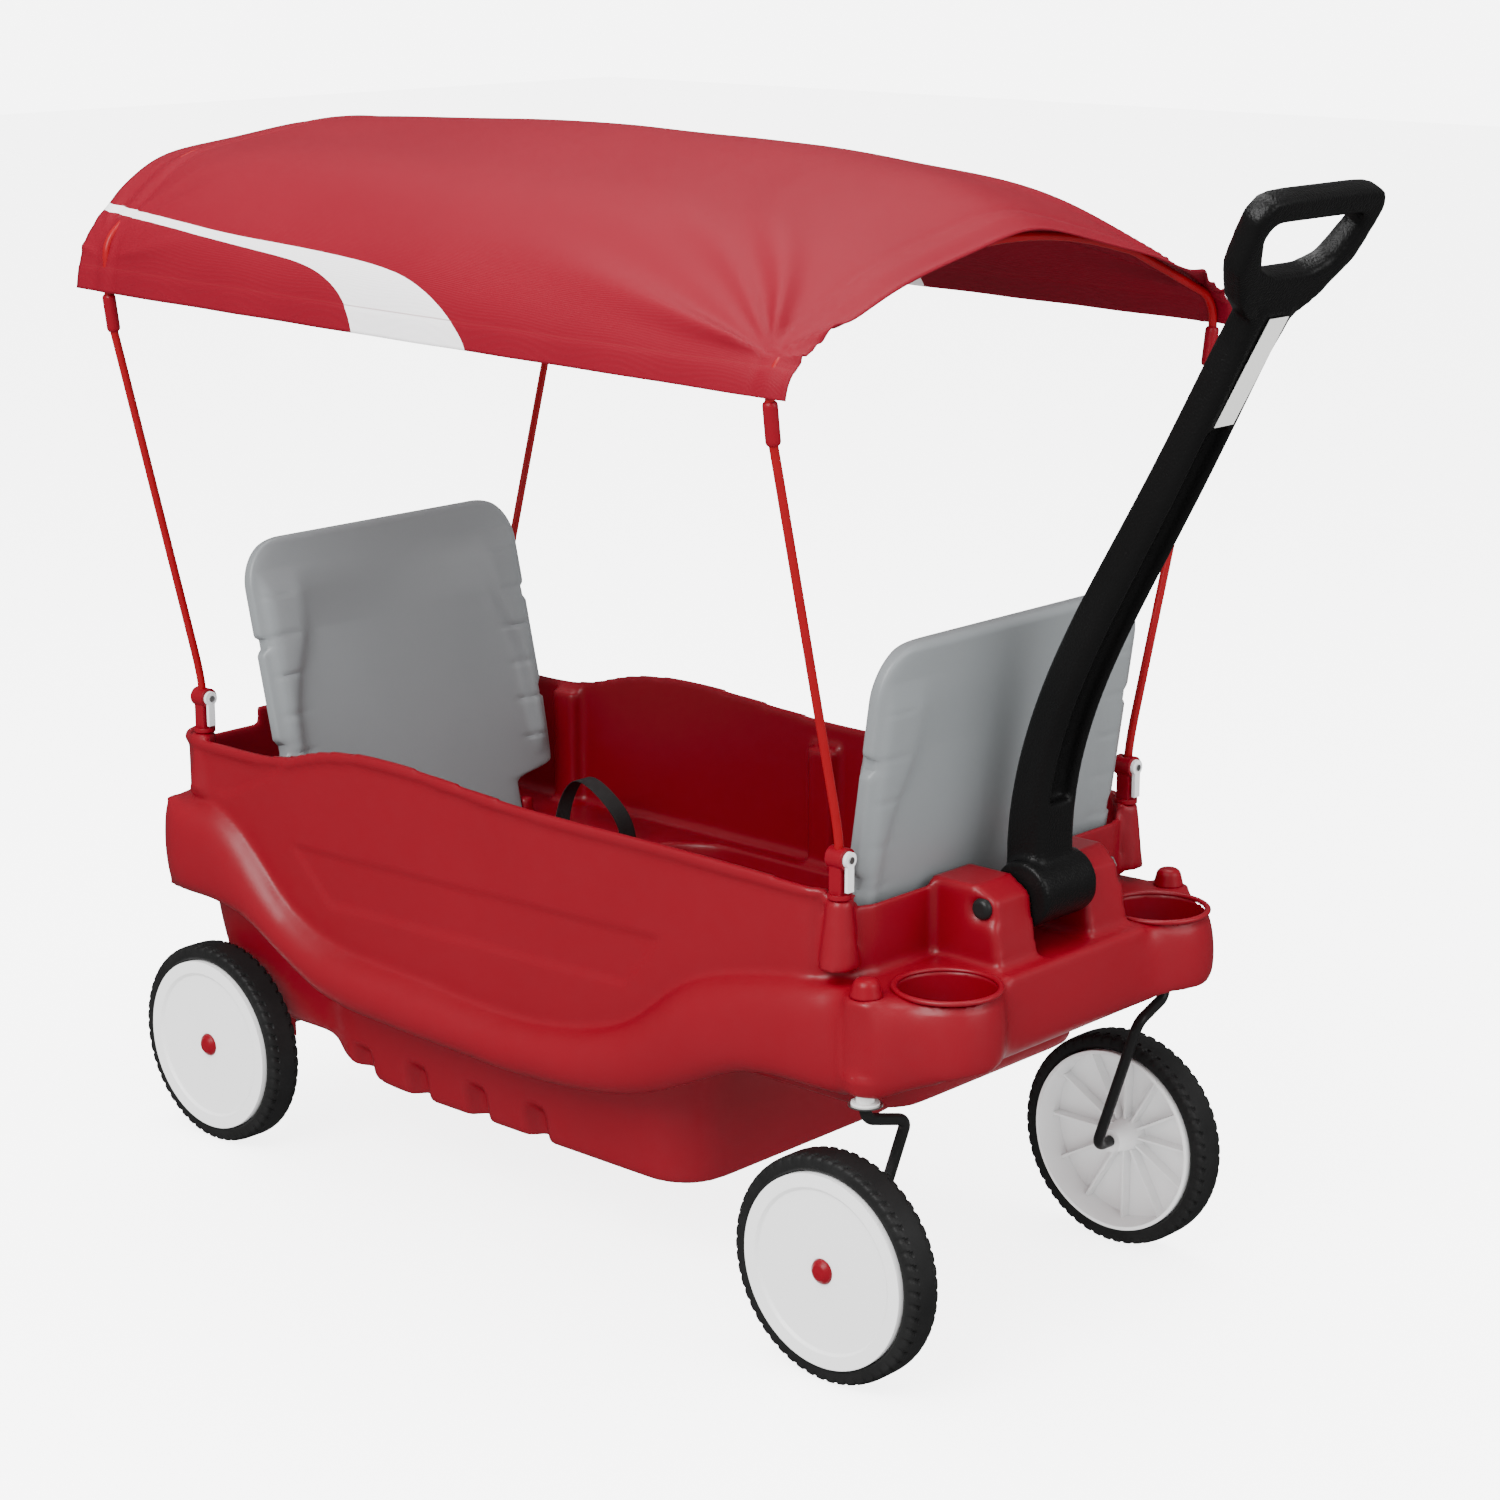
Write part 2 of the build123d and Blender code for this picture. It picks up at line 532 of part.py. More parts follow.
def handle_arm():
    """Arm, barrel and grip loop in one black moulding."""
    arm = arm_loft(ARM_W, ARM_T_LOW, ARM_T_HIGH, 0.0, 0.0, 1.0, ARM_ROUND)
    barrel = cylinder_y(BARREL_R, -BARREL_HALF_W, BARREL_HALF_W, BARREL_X, BARREL_Z)
    w, h = GRIP_HALF_W, GRIP_H
    outer = [(ARM_W / 2, -45), (ARM_W / 2 + 4, -14), (w * 0.64, 6), (w * 0.93, h * 0.37), (w, h * 0.82),
             (w * 0.88, h * 0.97), (w * 0.55, h), (0, h)]
    top = h - GRIP_BAR
    side = w - GRIP_BAR
    inner = [(0, h * 0.28), (w * 0.28, h * 0.28), (w * 0.54, h * 0.36), (side, top * 0.84), (side - 3, top * 0.96),
             (side - 12, top), (0, top)]
    faces = []
    for half in (outer, inner):
        left = [(-u, v) for u, v in reversed(half) if u > 0]
        faces.append(make_face(Polyline(*half, *left, close=True).edges()))
    plate = faces[0] - faces[1]
    loop = extrude(grip_plane() * plate, GRIP_T / 2, both=True)
    handle = arm + barrel + loop
    handle -= arm_loft(CHANNEL_W, 2 * CHANNEL_DEPTH, 2 * CHANNEL_DEPTH,
                       lambda t: (ARM_T_LOW + (ARM_T_HIGH - ARM_T_LOW) * t) / 2,
                       CHANNEL_SPAN[0], CHANNEL_SPAN[1], 5.0)
    bore = BOLT_R + HANDLE_BUSH_WALL
    return handle - cylinder_y(bore, -BARREL_HALF_W - 1, BARREL_HALF_W + 1, BARREL_X, BARREL_Z)


def handle_bush():
    """Plastic sleeve in one end of the barrel, running on the bolt."""
    bush = cylinder_y(BOLT_R + HANDLE_BUSH_WALL, 8, BARREL_HALF_W, BARREL_X, BARREL_Z)
    return bush - cylinder_y(BOLT_R + RUNNING, 0, BARREL_HALF_W + 5, BARREL_X, BARREL_Z)


def handle_label():
    """Blank sticker on the front of the arm, just below the grip."""
    path = arm_path()
    length = path.length
    middle = 1 - (LABEL_L / 2 + 8) / length
    along = path % middle
    across = Vector(along.Z, 0, -along.X)
    thick = ARM_T_LOW + (ARM_T_HIGH - ARM_T_LOW) * middle
    centre = path @ middle + across * (thick / 2 + 1.0)
    plane = Plane(centre, x_dir=(0, 1, 0), z_dir=across)
    return extrude(plane * Rectangle(LABEL_W, LABEL_L), LABEL_T)


def handle_bolt():
    """Cross bolt through both ears and the barrel, with its domed head on the right."""
    ear_outer = BARREL_HALF_W + EAR_GAP + EAR_T - POCKET_DEPTH
    bolt = cylinder_y(BOLT_R, -ear_outer, ear_outer + NUT_T, BARREL_X, BARREL_Z)
    head = cylinder_y(BOLT_HEAD_R, -ear_outer - BOLT_HEAD_T, -ear_outer, BARREL_X, BARREL_Z)
    return bolt + fillet(head.edges().sort_by(Axis.Y)[0], BOLT_HEAD_T * 0.8)


def handle_nut():
    """Lock nut on the bolt's left end."""
    y = BARREL_HALF_W + EAR_GAP + EAR_T - POCKET_DEPTH
    plane = Plane((BARREL_X, y, BARREL_Z), x_dir=(1, 0, 0), z_dir=(0, 1, 0))
    nut = extrude(plane * RegularPolygon(NUT_R, 6), NUT_T)
    return nut - cylinder_y(BOLT_R, y - 1, y + NUT_T + 1, BARREL_X, BARREL_Z)


# ---------------------------------------------------------------- seat backs


def seat_back(hinge_x, hinge_z, lean):
    """Hollow moulded seat back standing on its hinge, leaning by lean degrees towards -X, facing +X."""
    top = SEAT_LENGTH
    shoulder = SEAT_TAB_LENGTH
    outline = Polyline((-SEAT_TAB_HALF_W, -SEAT_T / 2), (SEAT_TAB_HALF_W, -SEAT_T / 2), (SEAT_TAB_HALF_W, shoulder),
                       (SEAT_HALF_W - 6, shoulder), (SEAT_HALF_W, shoulder + 90), (SEAT_HALF_W, top),
                       (-SEAT_HALF_W, top), (-SEAT_HALF_W, shoulder + 90), (-SEAT_HALF_W + 6, shoulder),
                       (-SEAT_TAB_HALF_W, shoulder), close=True)
    face = make_face(outline.edges())
    face = fillet(face.vertices().group_by(Axis.Y)[-1], SEAT_CORNER_R)
    for side in (-1, 1):
        for height in (shoulder + 95, shoulder + 215):
            face -= Pos(side * SEAT_HALF_W, height) * Rectangle(2 * NOTCH[1], NOTCH[0])
    upright = Plane(origin=(0, 0, 0), x_dir=(0, 1, 0), z_dir=(1, 0, 0))
    panel = extrude(upright * face, SEAT_T / 2, both=True)
    panel = fillet(panel.edges().filter_by(Axis.Y).group_by(Axis.Z)[0], SEAT_FOOT_R)
    for side in (-1, 1):
        y = side * (SEAT_HALF_W - BOLSTER_W / 2 - NOTCH[1] - 2)
        bolster = Pos(SEAT_T / 2, y, shoulder + 175) * Box(2 * BOLSTER_RISE, BOLSTER_W, 250)
        panel += chamfer(bolster.edges().filter_by(Axis.Z).group_by(Axis.X)[-1], BOLSTER_RISE * 0.8)
    void = block(-SEAT_T / 2 + SEAT_SKIN, SEAT_T / 2 - SEAT_SKIN, -SEAT_HALF_W + 24, SEAT_HALF_W - 24,
                 shoulder + 12, top - 16)
    void = fillet(void.edges().filter_by(Axis.X), 30)
    panel -= void
    for side in (-1, 1):
        panel -= cylinder_y(PIN_R + RUNNING, side * (SEAT_TAB_HALF_W - PIN_L), side * SEAT_TAB_HALF_W, 0, 0)
    return Pos(hinge_x, 0, hinge_z) * Rot(0, -lean, 0) * panel


def seat_pin(x, z):
    """Hinge pin on the left side of one seat back."""
    y1 = SEAT_TAB_HALF_W + LOOSE + LUG_T
    return cylinder_y(PIN_R, y1 - PIN_L, y1, x, z)


# ---------------------------------------------------------------- belts


def belt_x(hinge_x, facing):
    """Where a belt lies on its bench."""
    return hinge_x + facing * BELT_OFFSET


def belt_web(x):
    """One flat run of webbing on the bench, on the left."""
    y1 = ANCHOR_Y
    return block(x - WEB_W / 2, x + WEB_W / 2, y1 - WEB_L + 36, y1, BENCH_Z, BENCH_Z + WEB_T)


def belt_anchor(x):
    """Steel plate that holds the end of the webbing on the bench, on the left."""
    dx, dy, dz = ANCHOR
    return block(x - dx / 2, x + dx / 2, ANCHOR_Y, ANCHOR_Y + dy, BENCH_Z, BENCH_Z + dz)


def buckle(x):
    """Side-release buckle between the two runs of webbing."""
    dx, dy, dz = BUCKLE
    half = ANCHOR_Y - WEB_L + 36
    plate = block(x - dx / 2, x + dx / 2, -half, half, BENCH_Z, BENCH_Z + dz)
    return fillet(plate.edges().filter_by(Axis.Z), 6)


# ---------------------------------------------------------------- clamps


def clamp(x):
    """Pole clamp on a corner of the tub, on the left: foot, neck and a head along X with a socket."""
    body = cylinder_z(CLAMP_FOOT_R, CLAMP_FOOT_Z, CLAMP_FOOT_Z + 5, x, CLAMP_Y)
    body += block(x - CLAMP_W / 2, x + CLAMP_W / 2, CLAMP_Y - CLAMP_W / 2, CLAMP_Y + CLAMP_W / 2,
                  CLAMP_FOOT_Z + 5, CLAMP_HEAD_Z)
    body += cylinder_x(CLAMP_HEAD_R, x - CLAMP_HEAD_HALF_L, x + CLAMP_HEAD_HALF_L, CLAMP_Y, CLAMP_HEAD_Z)
    top = CLAMP_HEAD_Z + CLAMP_HEAD_R
    body -= cylinder_z(POLE_R + LOOSE, top - SOCKET_DEPTH, top + 5, x, CLAMP_Y)
    return body - cylinder_x(RIVET_R, x + POLE_R + 2, x + CLAMP_HEAD_HALF_L + 1, CLAMP_Y, CLAMP_HEAD_Z)


def rivet(x):
    """Rivet that carries a cam lever, on the left."""
    start = x + POLE_R + 2
    end = x + CLAMP_HEAD_HALF_L + RUNNING * 2 + LEVER_T + RUNNING * 2
    pin = cylinder_x(RIVET_R, start, end, CLAMP_Y, CLAMP_HEAD_Z)
    return pin + cylinder_x(RIVET_HEAD_R, end, end + RIVET_HEAD_T, CLAMP_Y, CLAMP_HEAD_Z)


def lever(x):
    """Teardrop cam lever on the forward end of the clamp head, hanging down, on the left."""
    start = x + CLAMP_HEAD_HALF_L + RUNNING * 2
    plane = Plane((start, CLAMP_Y, CLAMP_HEAD_Z), x_dir=(0, 1, 0), z_dir=(1, 0, 0))
    tail = Pos(0, -LEVER_L / 2) * Rectangle(LEVER_TAIL_W, LEVER_L)
    plate = extrude(plane * (Circle(LEVER_R) + tail), LEVER_T)
    return plate - cylinder_x(RIVET_R + RUNNING, start - 1, start + LEVER_T + 1, CLAMP_Y, CLAMP_HEAD_Z)


# ---------------------------------------------------------------- canopy


def hem_height(x):
    """Height of the hem over a bow."""
    return min(ARCHES, key=lambda arch: abs(arch[0] - x))[1]


def pole(clamp_x, bow_x):
    """Slim canopy pole on the left: upright in its clamp, splayed outwards, upright again in its sleeve."""
    bottom = CLAMP_HEAD_Z + CLAMP_HEAD_R - SOCKET_DEPTH + 0.3
    end = hem_height(bow_x) - HEM_GAP - SLEEVE_L / 2
    path = FilletPolyline((clamp_x, CLAMP_Y, bottom), (clamp_x, CLAMP_Y, POLE_BEND_Z),
                          (bow_x, POLE_TOP_Y, POLE_SPLAY_Z), (bow_x, POLE_TOP_Y, end + 60),
                          radius=POLE_BEND)
    start = Plane(origin=path @ 0, z_dir=path % 0)
    whole = sweep(start * Circle(POLE_R), path=path)
    return whole - block(bow_x - 50, bow_x + 50, 0, 2 * POLE_TOP_Y, end, end + 200)


def sleeve(x):
    """Corner sleeve that joins a pole to its bow, on the left, just below the hem."""
    top = hem_height(x) - HEM_GAP
    tube = cylinder_z(SLEEVE_R, top - SLEEVE_L, top, x, POLE_TOP_Y)
    return tube - cylinder_z(POLE_R, top - SLEEVE_L - 5, top + 5, x, POLE_TOP_Y)


def arch_points(arch, out):
    """Corner points of an arch from the left hem to the right hem, moved outwards by out."""
    _, hem, shoulder, quarter, ridge = arch
    half = [(POLE_TOP_Y, hem), shoulder, quarter, (0.0, ridge)]
    points = half + [(-y, z) for y, z in reversed(half[:-1])]
    normals = []
    for (ya, za), (yb, zb) in zip(points[:-1], points[1:]):
        run = math.hypot(yb - ya, zb - za)
        normals.append(((zb - za) / run, -(yb - ya) / run))
    moved = [(points[0][0] + normals[0][0] * out, points[0][1] + normals[0][1] * out)]
    for k in range(1, len(points) - 1):
        (ny0, nz0), (ny1, nz1) = normals[k - 1], normals[k]
        scale = out / (1 + ny0 * ny1 + nz0 * nz1)
        moved.append((points[k][0] + (ny0 + ny1) * scale, points[k][1] + (nz0 + nz1) * scale))
    moved.append((points[-1][0] + normals[-1][0] * out, points[-1][1] + normals[-1][1] * out))
    return moved


def arch_radii(out):
    """Bend radius at each corner of an arch that is moved outwards by out."""
    shoulder, quarter, ridge = (r + out for r in ARCH_BENDS)
    return [shoulder, quarter, ridge, quarter, shoulder]


def bow(x):
    """Cross bow that carries the cloth, from one sleeve over to the other."""
    arch = min(ARCHES, key=lambda row: abs(row[0] - x))
    points = arch_points(arch, 0.0)
    end = hem_height(x) - HEM_GAP - SLEEVE_L / 2
    points = [(POLE_TOP_Y, end)] + points[1:-1] + [(-POLE_TOP_Y, end)]
    path = FilletPolyline(*[(x, y, z) for y, z in points], radius=arch_radii(0.0))
    start = Plane(origin=path @ 0, z_dir=path % 0)
    return sweep(start * Circle(POLE_R), path=path)


def cloth_section(arch):
    """Cross-section of the cloth at one arch, just outside the frame."""
    inner = POLE_R + 2 * LOOSE
    edges = []
    ends = []
    for out in (inner, inner + CLOTH):
        points = arch_points(arch, out)
        edges += FilletPolyline(*points, radius=arch_radii(out)).edges()
        ends.append((points[0], points[-1]))
    edges += [Edge.make_line(ends[0][k], ends[1][k]) for k in (0, 1)]
    return Plane((arch[0], 0, 0), x_dir=(0, 1, 0), z_dir=(1, 0, 0)) * make_face(edges)


def canopy_sheet():
    """The cloth: a domed sheet from hem to hem, open at both ends."""
    return loft([cloth_section(arch) for arch in ARCHES], ruled=True)


# ---------------------------------------------------------------- list of pieces


def pieces():
    """Every piece by its name. A list is a group of separate solids."""
    rear_x = AXLE_FRONT_X - WHEELBASE
    corners = {"front": (CLAMP_FRONT_X, BOW_FRONT_X), "rear": (CLAMP_REAR_X, BOW_REAR_X)}
    found = {
        "tub_shell": [tub_shell()],
        "pivot_caps": both_sides(pivot_cap),
        "pivot_bushes": both_sides(pivot_bush),
        "pivot_washers": both_sides(pivot_washer),
        "handle_bolt": [handle_bolt()],
        "handle_nut": [handle_nut()],
        "rear_axle": [rear_axle()],
        "rear_axle_clips": both_sides(lambda: axle_clip(rear_x, REAR_FACE_Y)),
        "axle_saddles": both_sides(axle_saddle),
        "axle_spacers": both_sides(axle_spacer),
        "seat_pins": both_sides(lambda: seat_pin(*SEAT_REAR[:2])) + both_sides(lambda: seat_pin(*SEAT_FRONT[:2])),
        "clamp_rivets": both_sides(lambda: rivet(CLAMP_FRONT_X)) + both_sides(lambda: rivet(CLAMP_REAR_X)),
        "handle_arm": [handle_arm()],
        "handle_bushes": both_sides(handle_bush),
        "handle_label": [handle_label()],
        "seat_back_rear": [seat_back(*SEAT_REAR)],
        "seat_back_front": [mirror(seat_back(-SEAT_FRONT[0], *SEAT_FRONT[1:]), about=Plane.YZ)],
        "canopy_sheet": [canopy_sheet()],
        "canopy_bow_front": [bow(BOW_FRONT_X)],
        "canopy_bow_rear": [bow(BOW_REAR_X)],
    }
    for name, hinge_x, facing in (("rear", SEAT_REAR[0], 1), ("front", SEAT_FRONT[0], -1)):
        x = belt_x(hinge_x, facing)
        found[f"belt_web_{name}"] = both_sides(lambda: belt_web(x))
        found[f"belt_anchors_{name}"] = both_sides(lambda: belt_anchor(x))
        found[f"belt_buckle_{name}"] = [buckle(x)]
    for end, x, face_y in (("front", AXLE_FRONT_X, FRONT_FACE_Y), ("rear", rear_x, REAR_FACE_Y)):
        for piece in (tyre, rim, hub_cap):
            left, right = both_sides(lambda: piece(x, face_y))
            found[f"wheel_{end}_left_{piece.__name__}"] = [left]
            found[f"wheel_{end}_right_{piece.__name__}"] = [right]
    front_clips = both_sides(lambda: axle_clip(AXLE_FRONT_X, FRONT_FACE_Y))
    tops = both_sides(pivot_clip)
    for k, (side, rod) in enumerate(zip(("left", "right"), both_sides(caster_rod))):
        found[f"caster_rod_{side}"] = [rod]
        found[f"caster_clips_{side}"] = [front_clips[k], tops[k]]
    for end, (x, bow_x) in corners.items():
        for kind, build in (("pole_clamp", clamp), ("clamp_lever", lever)):
            left, right = both_sides(lambda: build(x))
            found[f"{kind}_{end}_left"] = [left]
            found[f"{kind}_{end}_right"] = [right]
        poles = both_sides(lambda: pole(x, bow_x))
        sleeves = both_sides(lambda: sleeve(bow_x))
        for k, side in enumerate(("left", "right")):
            found[f"canopy_pole_{end}_{side}"] = [poles[k]]
            found[f"canopy_sleeve_{end}_{side}"] = [sleeves[k]]
    return found


os.makedirs("parts", exist_ok=True)
for node, solids in pieces().items():
    shape = solids[0] if len(solids) == 1 else Compound(children=solids)
    export_step(shape, f"parts/{node}.step")
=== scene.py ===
"""Kids pull wagon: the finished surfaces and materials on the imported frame. Metres, +X forward, +Z up."""
import json
import math

import bmesh
import bpy
import numpy as np
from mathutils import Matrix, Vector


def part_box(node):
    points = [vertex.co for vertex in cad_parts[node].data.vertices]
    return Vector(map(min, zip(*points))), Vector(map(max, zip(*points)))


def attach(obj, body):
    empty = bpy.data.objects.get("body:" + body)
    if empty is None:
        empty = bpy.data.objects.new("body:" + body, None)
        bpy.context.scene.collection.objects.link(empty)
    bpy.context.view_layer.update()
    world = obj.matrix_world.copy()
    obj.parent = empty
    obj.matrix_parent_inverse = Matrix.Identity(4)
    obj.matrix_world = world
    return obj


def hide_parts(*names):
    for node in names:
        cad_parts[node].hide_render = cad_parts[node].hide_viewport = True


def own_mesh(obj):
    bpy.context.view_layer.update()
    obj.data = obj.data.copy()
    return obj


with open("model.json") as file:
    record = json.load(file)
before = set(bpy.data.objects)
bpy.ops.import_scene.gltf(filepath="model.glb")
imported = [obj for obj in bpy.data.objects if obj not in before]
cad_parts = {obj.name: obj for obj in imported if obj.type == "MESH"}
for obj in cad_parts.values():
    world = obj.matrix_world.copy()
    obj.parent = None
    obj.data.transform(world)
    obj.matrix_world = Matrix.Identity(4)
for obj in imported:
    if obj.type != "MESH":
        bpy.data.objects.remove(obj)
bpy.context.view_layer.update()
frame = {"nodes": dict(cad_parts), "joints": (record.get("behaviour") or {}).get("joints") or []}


# ---------------------------------------------------------------- tub
# The tub is one blow-moulded shell of red polyethylene with a fine satin grain.
# It is double walled at the benches and the bumper, and everything else is fixed to it.


class Reading:
    """A value inside a material. Python's operators on it add Math nodes."""

    def __init__(self, finish, socket):
        self.finish = finish
        self.socket = socket

    def math(self, operation, *values):
        return self.finish.node("ShaderNodeMath", {"operation": operation}, dict(enumerate(values)))

    def __add__(self, other):
        return self.math("ADD", self, other)

    def __sub__(self, other):
        return self.math("SUBTRACT", self, other)

    def __rsub__(self, other):
        return self.math("SUBTRACT", other, self)

    def __mul__(self, other):
        return self.math("MULTIPLY", self, other)

    __radd__ = __add__
    __rmul__ = __mul__

    def step(self, edge):
        """1 where the value is over edge, else 0."""
        return self.math("GREATER_THAN", self, edge)


class Finish:
    """One material: its node tree and its Principled shader, with one method that adds any other node."""

    def __init__(self, name, **even):
        self.material = bpy.data.materials.new(name)
        self.material.use_nodes = True
        self.tree = self.material.node_tree
        self.shader = self.tree.nodes["Principled BSDF"]
        for socket, value in even.items():
            self.shader.inputs[socket.replace("_", " ")].default_value = value
        self.place = self.node("ShaderNodeTexCoord", out="Object")

    def node(self, kind, settings=None, inputs=None, out=0):
        made = self.tree.nodes.new(kind)
        for key, value in (settings or {}).items():
            setattr(made, key, value)
        for key, value in (inputs or {}).items():
            if isinstance(value, Reading):
                self.tree.links.new(value.socket, made.inputs[key])
            else:
                made.inputs[key].default_value = value
        return Reading(self, made.outputs[out])

    def feed(self, socket, reading):
        self.tree.links.new(reading.socket, self.shader.inputs[socket])

    def noise(self, scale, detail=3.0, rough=0.5, where=None):
        inputs = {"Vector": where or self.place, "Scale": scale, "Detail": detail, "Roughness": rough}
        return self.node("ShaderNodeTexNoise", None, inputs)

    def bands(self, direction, scale, distortion):
        """Yarns: even bands square to a direction, a little uneven."""
        return self.node("ShaderNodeTexWave", {"wave_type": "BANDS", "bands_direction": direction},
                         {"Vector": self.place, "Scale": scale, "Distortion": distortion}, out="Fac")

    def blend(self, factor, first, second):
        """Colour that goes from first to second with factor."""
        return self.node("ShaderNodeMix", {"data_type": "RGBA"}, {0: factor, 6: first, 7: second}, out=2)

    def bump(self, height, distance, strength=1.0, under=None):
        inputs = {"Height": height, "Distance": distance, "Strength": strength}
        if under:
            inputs["Normal"] = under
        return self.node("ShaderNodeBump", None, inputs)

    def soft_edges(self, radius):
        """Normal that rounds sharp edges by radius."""
        return self.node("ShaderNodeBevel", {"samples": 4}, {"Radius": radius})


ROUGHNESS_SPREAD = 0.12


def moulded(name, colour, deep, roughness, grain=0.00012, grain_scale=1400.0, edge=0.0018, **even):
    """Moulded plastic: slow drifts of colour, a fine grain, soft edges and a slightly uneven roughness."""
    finish = Finish(name, **even)
    drift = finish.noise(7.0, 4.0)
    finish.feed("Base Color", finish.blend(drift, (*deep, 1.0), (*colour, 1.0)))
    finish.feed("Roughness", finish.noise(55.0) * ROUGHNESS_SPREAD + (roughness - ROUGHNESS_SPREAD / 2))
    fine = finish.noise(grain_scale, 2.0)
    under = finish.soft_edges(edge) if edge else None
    finish.feed("Normal", finish.bump(fine, grain, 0.8, under))
    return finish.material


def coat(nodes, material):
    """Gives CAD nodes their material."""
    for name in nodes:
        mesh = frame["nodes"][name].data
        mesh.materials.clear()
        mesh.materials.append(material)


RED = (0.178, 0.0010, 0.0078)
DEEP_RED = (0.158, 0.0008, 0.0064)
tub_red = moulded("tub_red", RED, DEEP_RED, 0.36, edge=0.0, Specular_IOR_Level=0.30)


def placed(name, data):
    """A mesh, lamp or camera as an object of the scene, at the origin."""
    made = bpy.data.objects.new(name, data)
    bpy.context.scene.collection.objects.link(made)
    return made


def surface(name, points, ring=True, caps=False, sharp=40.0):
    """Mesh over a grid of points: a quad between every two neighbouring rows and columns.

    With ring the last column joins the first, and with caps a fan closes the first and the last row.
    """
    rows, columns = points.shape[:2]
    place = np.arange(rows * columns).reshape(rows, columns)
    here, across = (place, np.roll(place, -1, 1)) if ring else (place[:, :-1], place[:, 1:])
    faces = np.stack([here[:-1], across[:-1], across[1:], here[1:]], -1).reshape(-1, 4).tolist()
    corners = points.reshape(-1, 3)
    if caps:
        corners = np.vstack([corners, points[0].mean(0), points[-1].mean(0)])
        for row, middle in ((0, rows * columns), (-1, rows * columns + 1)):
            middles = np.full(columns, middle)
            faces += np.stack([here[row], across[row], middles], -1).tolist()
    mesh = bpy.data.meshes.new(name)
    mesh.from_pydata(corners.tolist(), [], faces)
    whole = bmesh.new()
    whole.from_mesh(mesh)
    bmesh.ops.remove_doubles(whole, verts=whole.verts, dist=1e-6)
    bmesh.ops.recalc_face_normals(whole, faces=whole.faces)
    whole.to_mesh(mesh)
    whole.free()
    mesh.shade_smooth()
    mesh.set_sharp_from_angle(angle=math.radians(sharp))
    return placed(name, mesh)


def fit(piece, body, slot, material, *replaced):
    """Puts a finished piece on its body, with its material, in place of CAD nodes. The slot is not used."""
    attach(piece, body)
    if replaced:
        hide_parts(*replaced)
    piece.data.materials.append(material)


def inside_outline(x, z, outline, rounds=2):
    """Signed distance into a closed outline: positive inside it, by the nearest side and a crossing count."""
    corners = np.array(outline)
    for _ in range(rounds):
        after = np.roll(corners, -1, 0)
        corners = np.stack([0.75 * corners + 0.25 * after, 0.25 * corners + 0.75 * after], 1).reshape(-1, 2)
    nearest = np.full(x.shape, 1.0)
    crossed = np.zeros(x.shape, bool)
    for (x0, z0), (x1, z1) in zip(corners, np.roll(corners, -1, 0)):
        run, rise = x1 - x0, z1 - z0
        along = np.clip(((x - x0) * run + (z - z0) * rise) / (run * run + rise * rise), 0, 1)
        nearest = np.minimum(nearest, np.hypot(x - x0 - along * run, z - z0 - along * rise))
        if z0 != z1:
            crossed ^= ((z0 > z) != (z1 > z)) & (x < x0 + (z - z0) * run / rise)
    return np.where(crossed, nearest, -nearest)


def arrays(mesh):
    """Corner points and edges of a mesh as arrays."""
    corners = np.empty(len(mesh.vertices) * 3)
    mesh.vertices.foreach_get("co", corners)
    edges = np.empty(len(mesh.edges) * 2, int)
    mesh.edges.foreach_get("vertices", edges)
    return corners.reshape(-1, 3), edges.reshape(-1, 2)


def merged_shell(node):
    """Corner points and triangles of a CAD node: doubles merged, sealed inner spaces left out.

    Every point takes the lowest number among its neighbours until nothing changes, so each closed shell ends
    with one number, and the shell that holds the rearmost point is the outer one.
    """
    whole = bmesh.new()
    whole.from_mesh(frame["nodes"][node].data)
    bmesh.ops.remove_doubles(whole, verts=whole.verts, dist=2e-5)
    mesh = bpy.data.meshes.new("merged")
    whole.to_mesh(mesh)
    whole.free()
    corners, edges = arrays(mesh)
    group = np.arange(len(corners))
    while True:
        nearest = group.copy()
        np.minimum.at(nearest, edges[:, 0], group[edges[:, 1]])
        np.minimum.at(nearest, edges[:, 1], group[edges[:, 0]])
        nearest = nearest[nearest]
        if np.array_equal(nearest, group):
            break
        group = nearest
    outer = group[corners[:, 0].argmin()]
    triangles = np.empty(len(mesh.loops), int)
    mesh.loops.foreach_get("vertex_index", triangles)
    triangles = triangles.reshape(-1, 3)
    return corners, triangles[group[triangles[:, 0]] == outer]


def eased(corners, edges, weight, rounds, pull=0.5, push=0.0):
    """Each round moves points towards their neighbours' mean by pull, then away by push, times a weight."""
    shares = np.bincount(edges.ravel(), minlength=len(corners))[:, None]
    for _ in range(rounds):
        for move in (pull, -push):
            if move:
                ends = [np.bincount(edges[:, a], corners[edges[:, b], k], len(corners))
                        for k in range(3) for a, b in ((0, 1), (1, 0))]
                mean = np.stack([ends[0] + ends[1], ends[2] + ends[3], ends[4] + ends[5]], 1) / shares
                corners = corners + move * weight[:, None] * (mean - corners)
    return corners


def soft(value, width):
    """Rises from 0 to 1 as value goes from 0 to width, with level ends."""
    t = np.clip(value / width, 0, 1)
    return t * t * (3 - 2 * t)


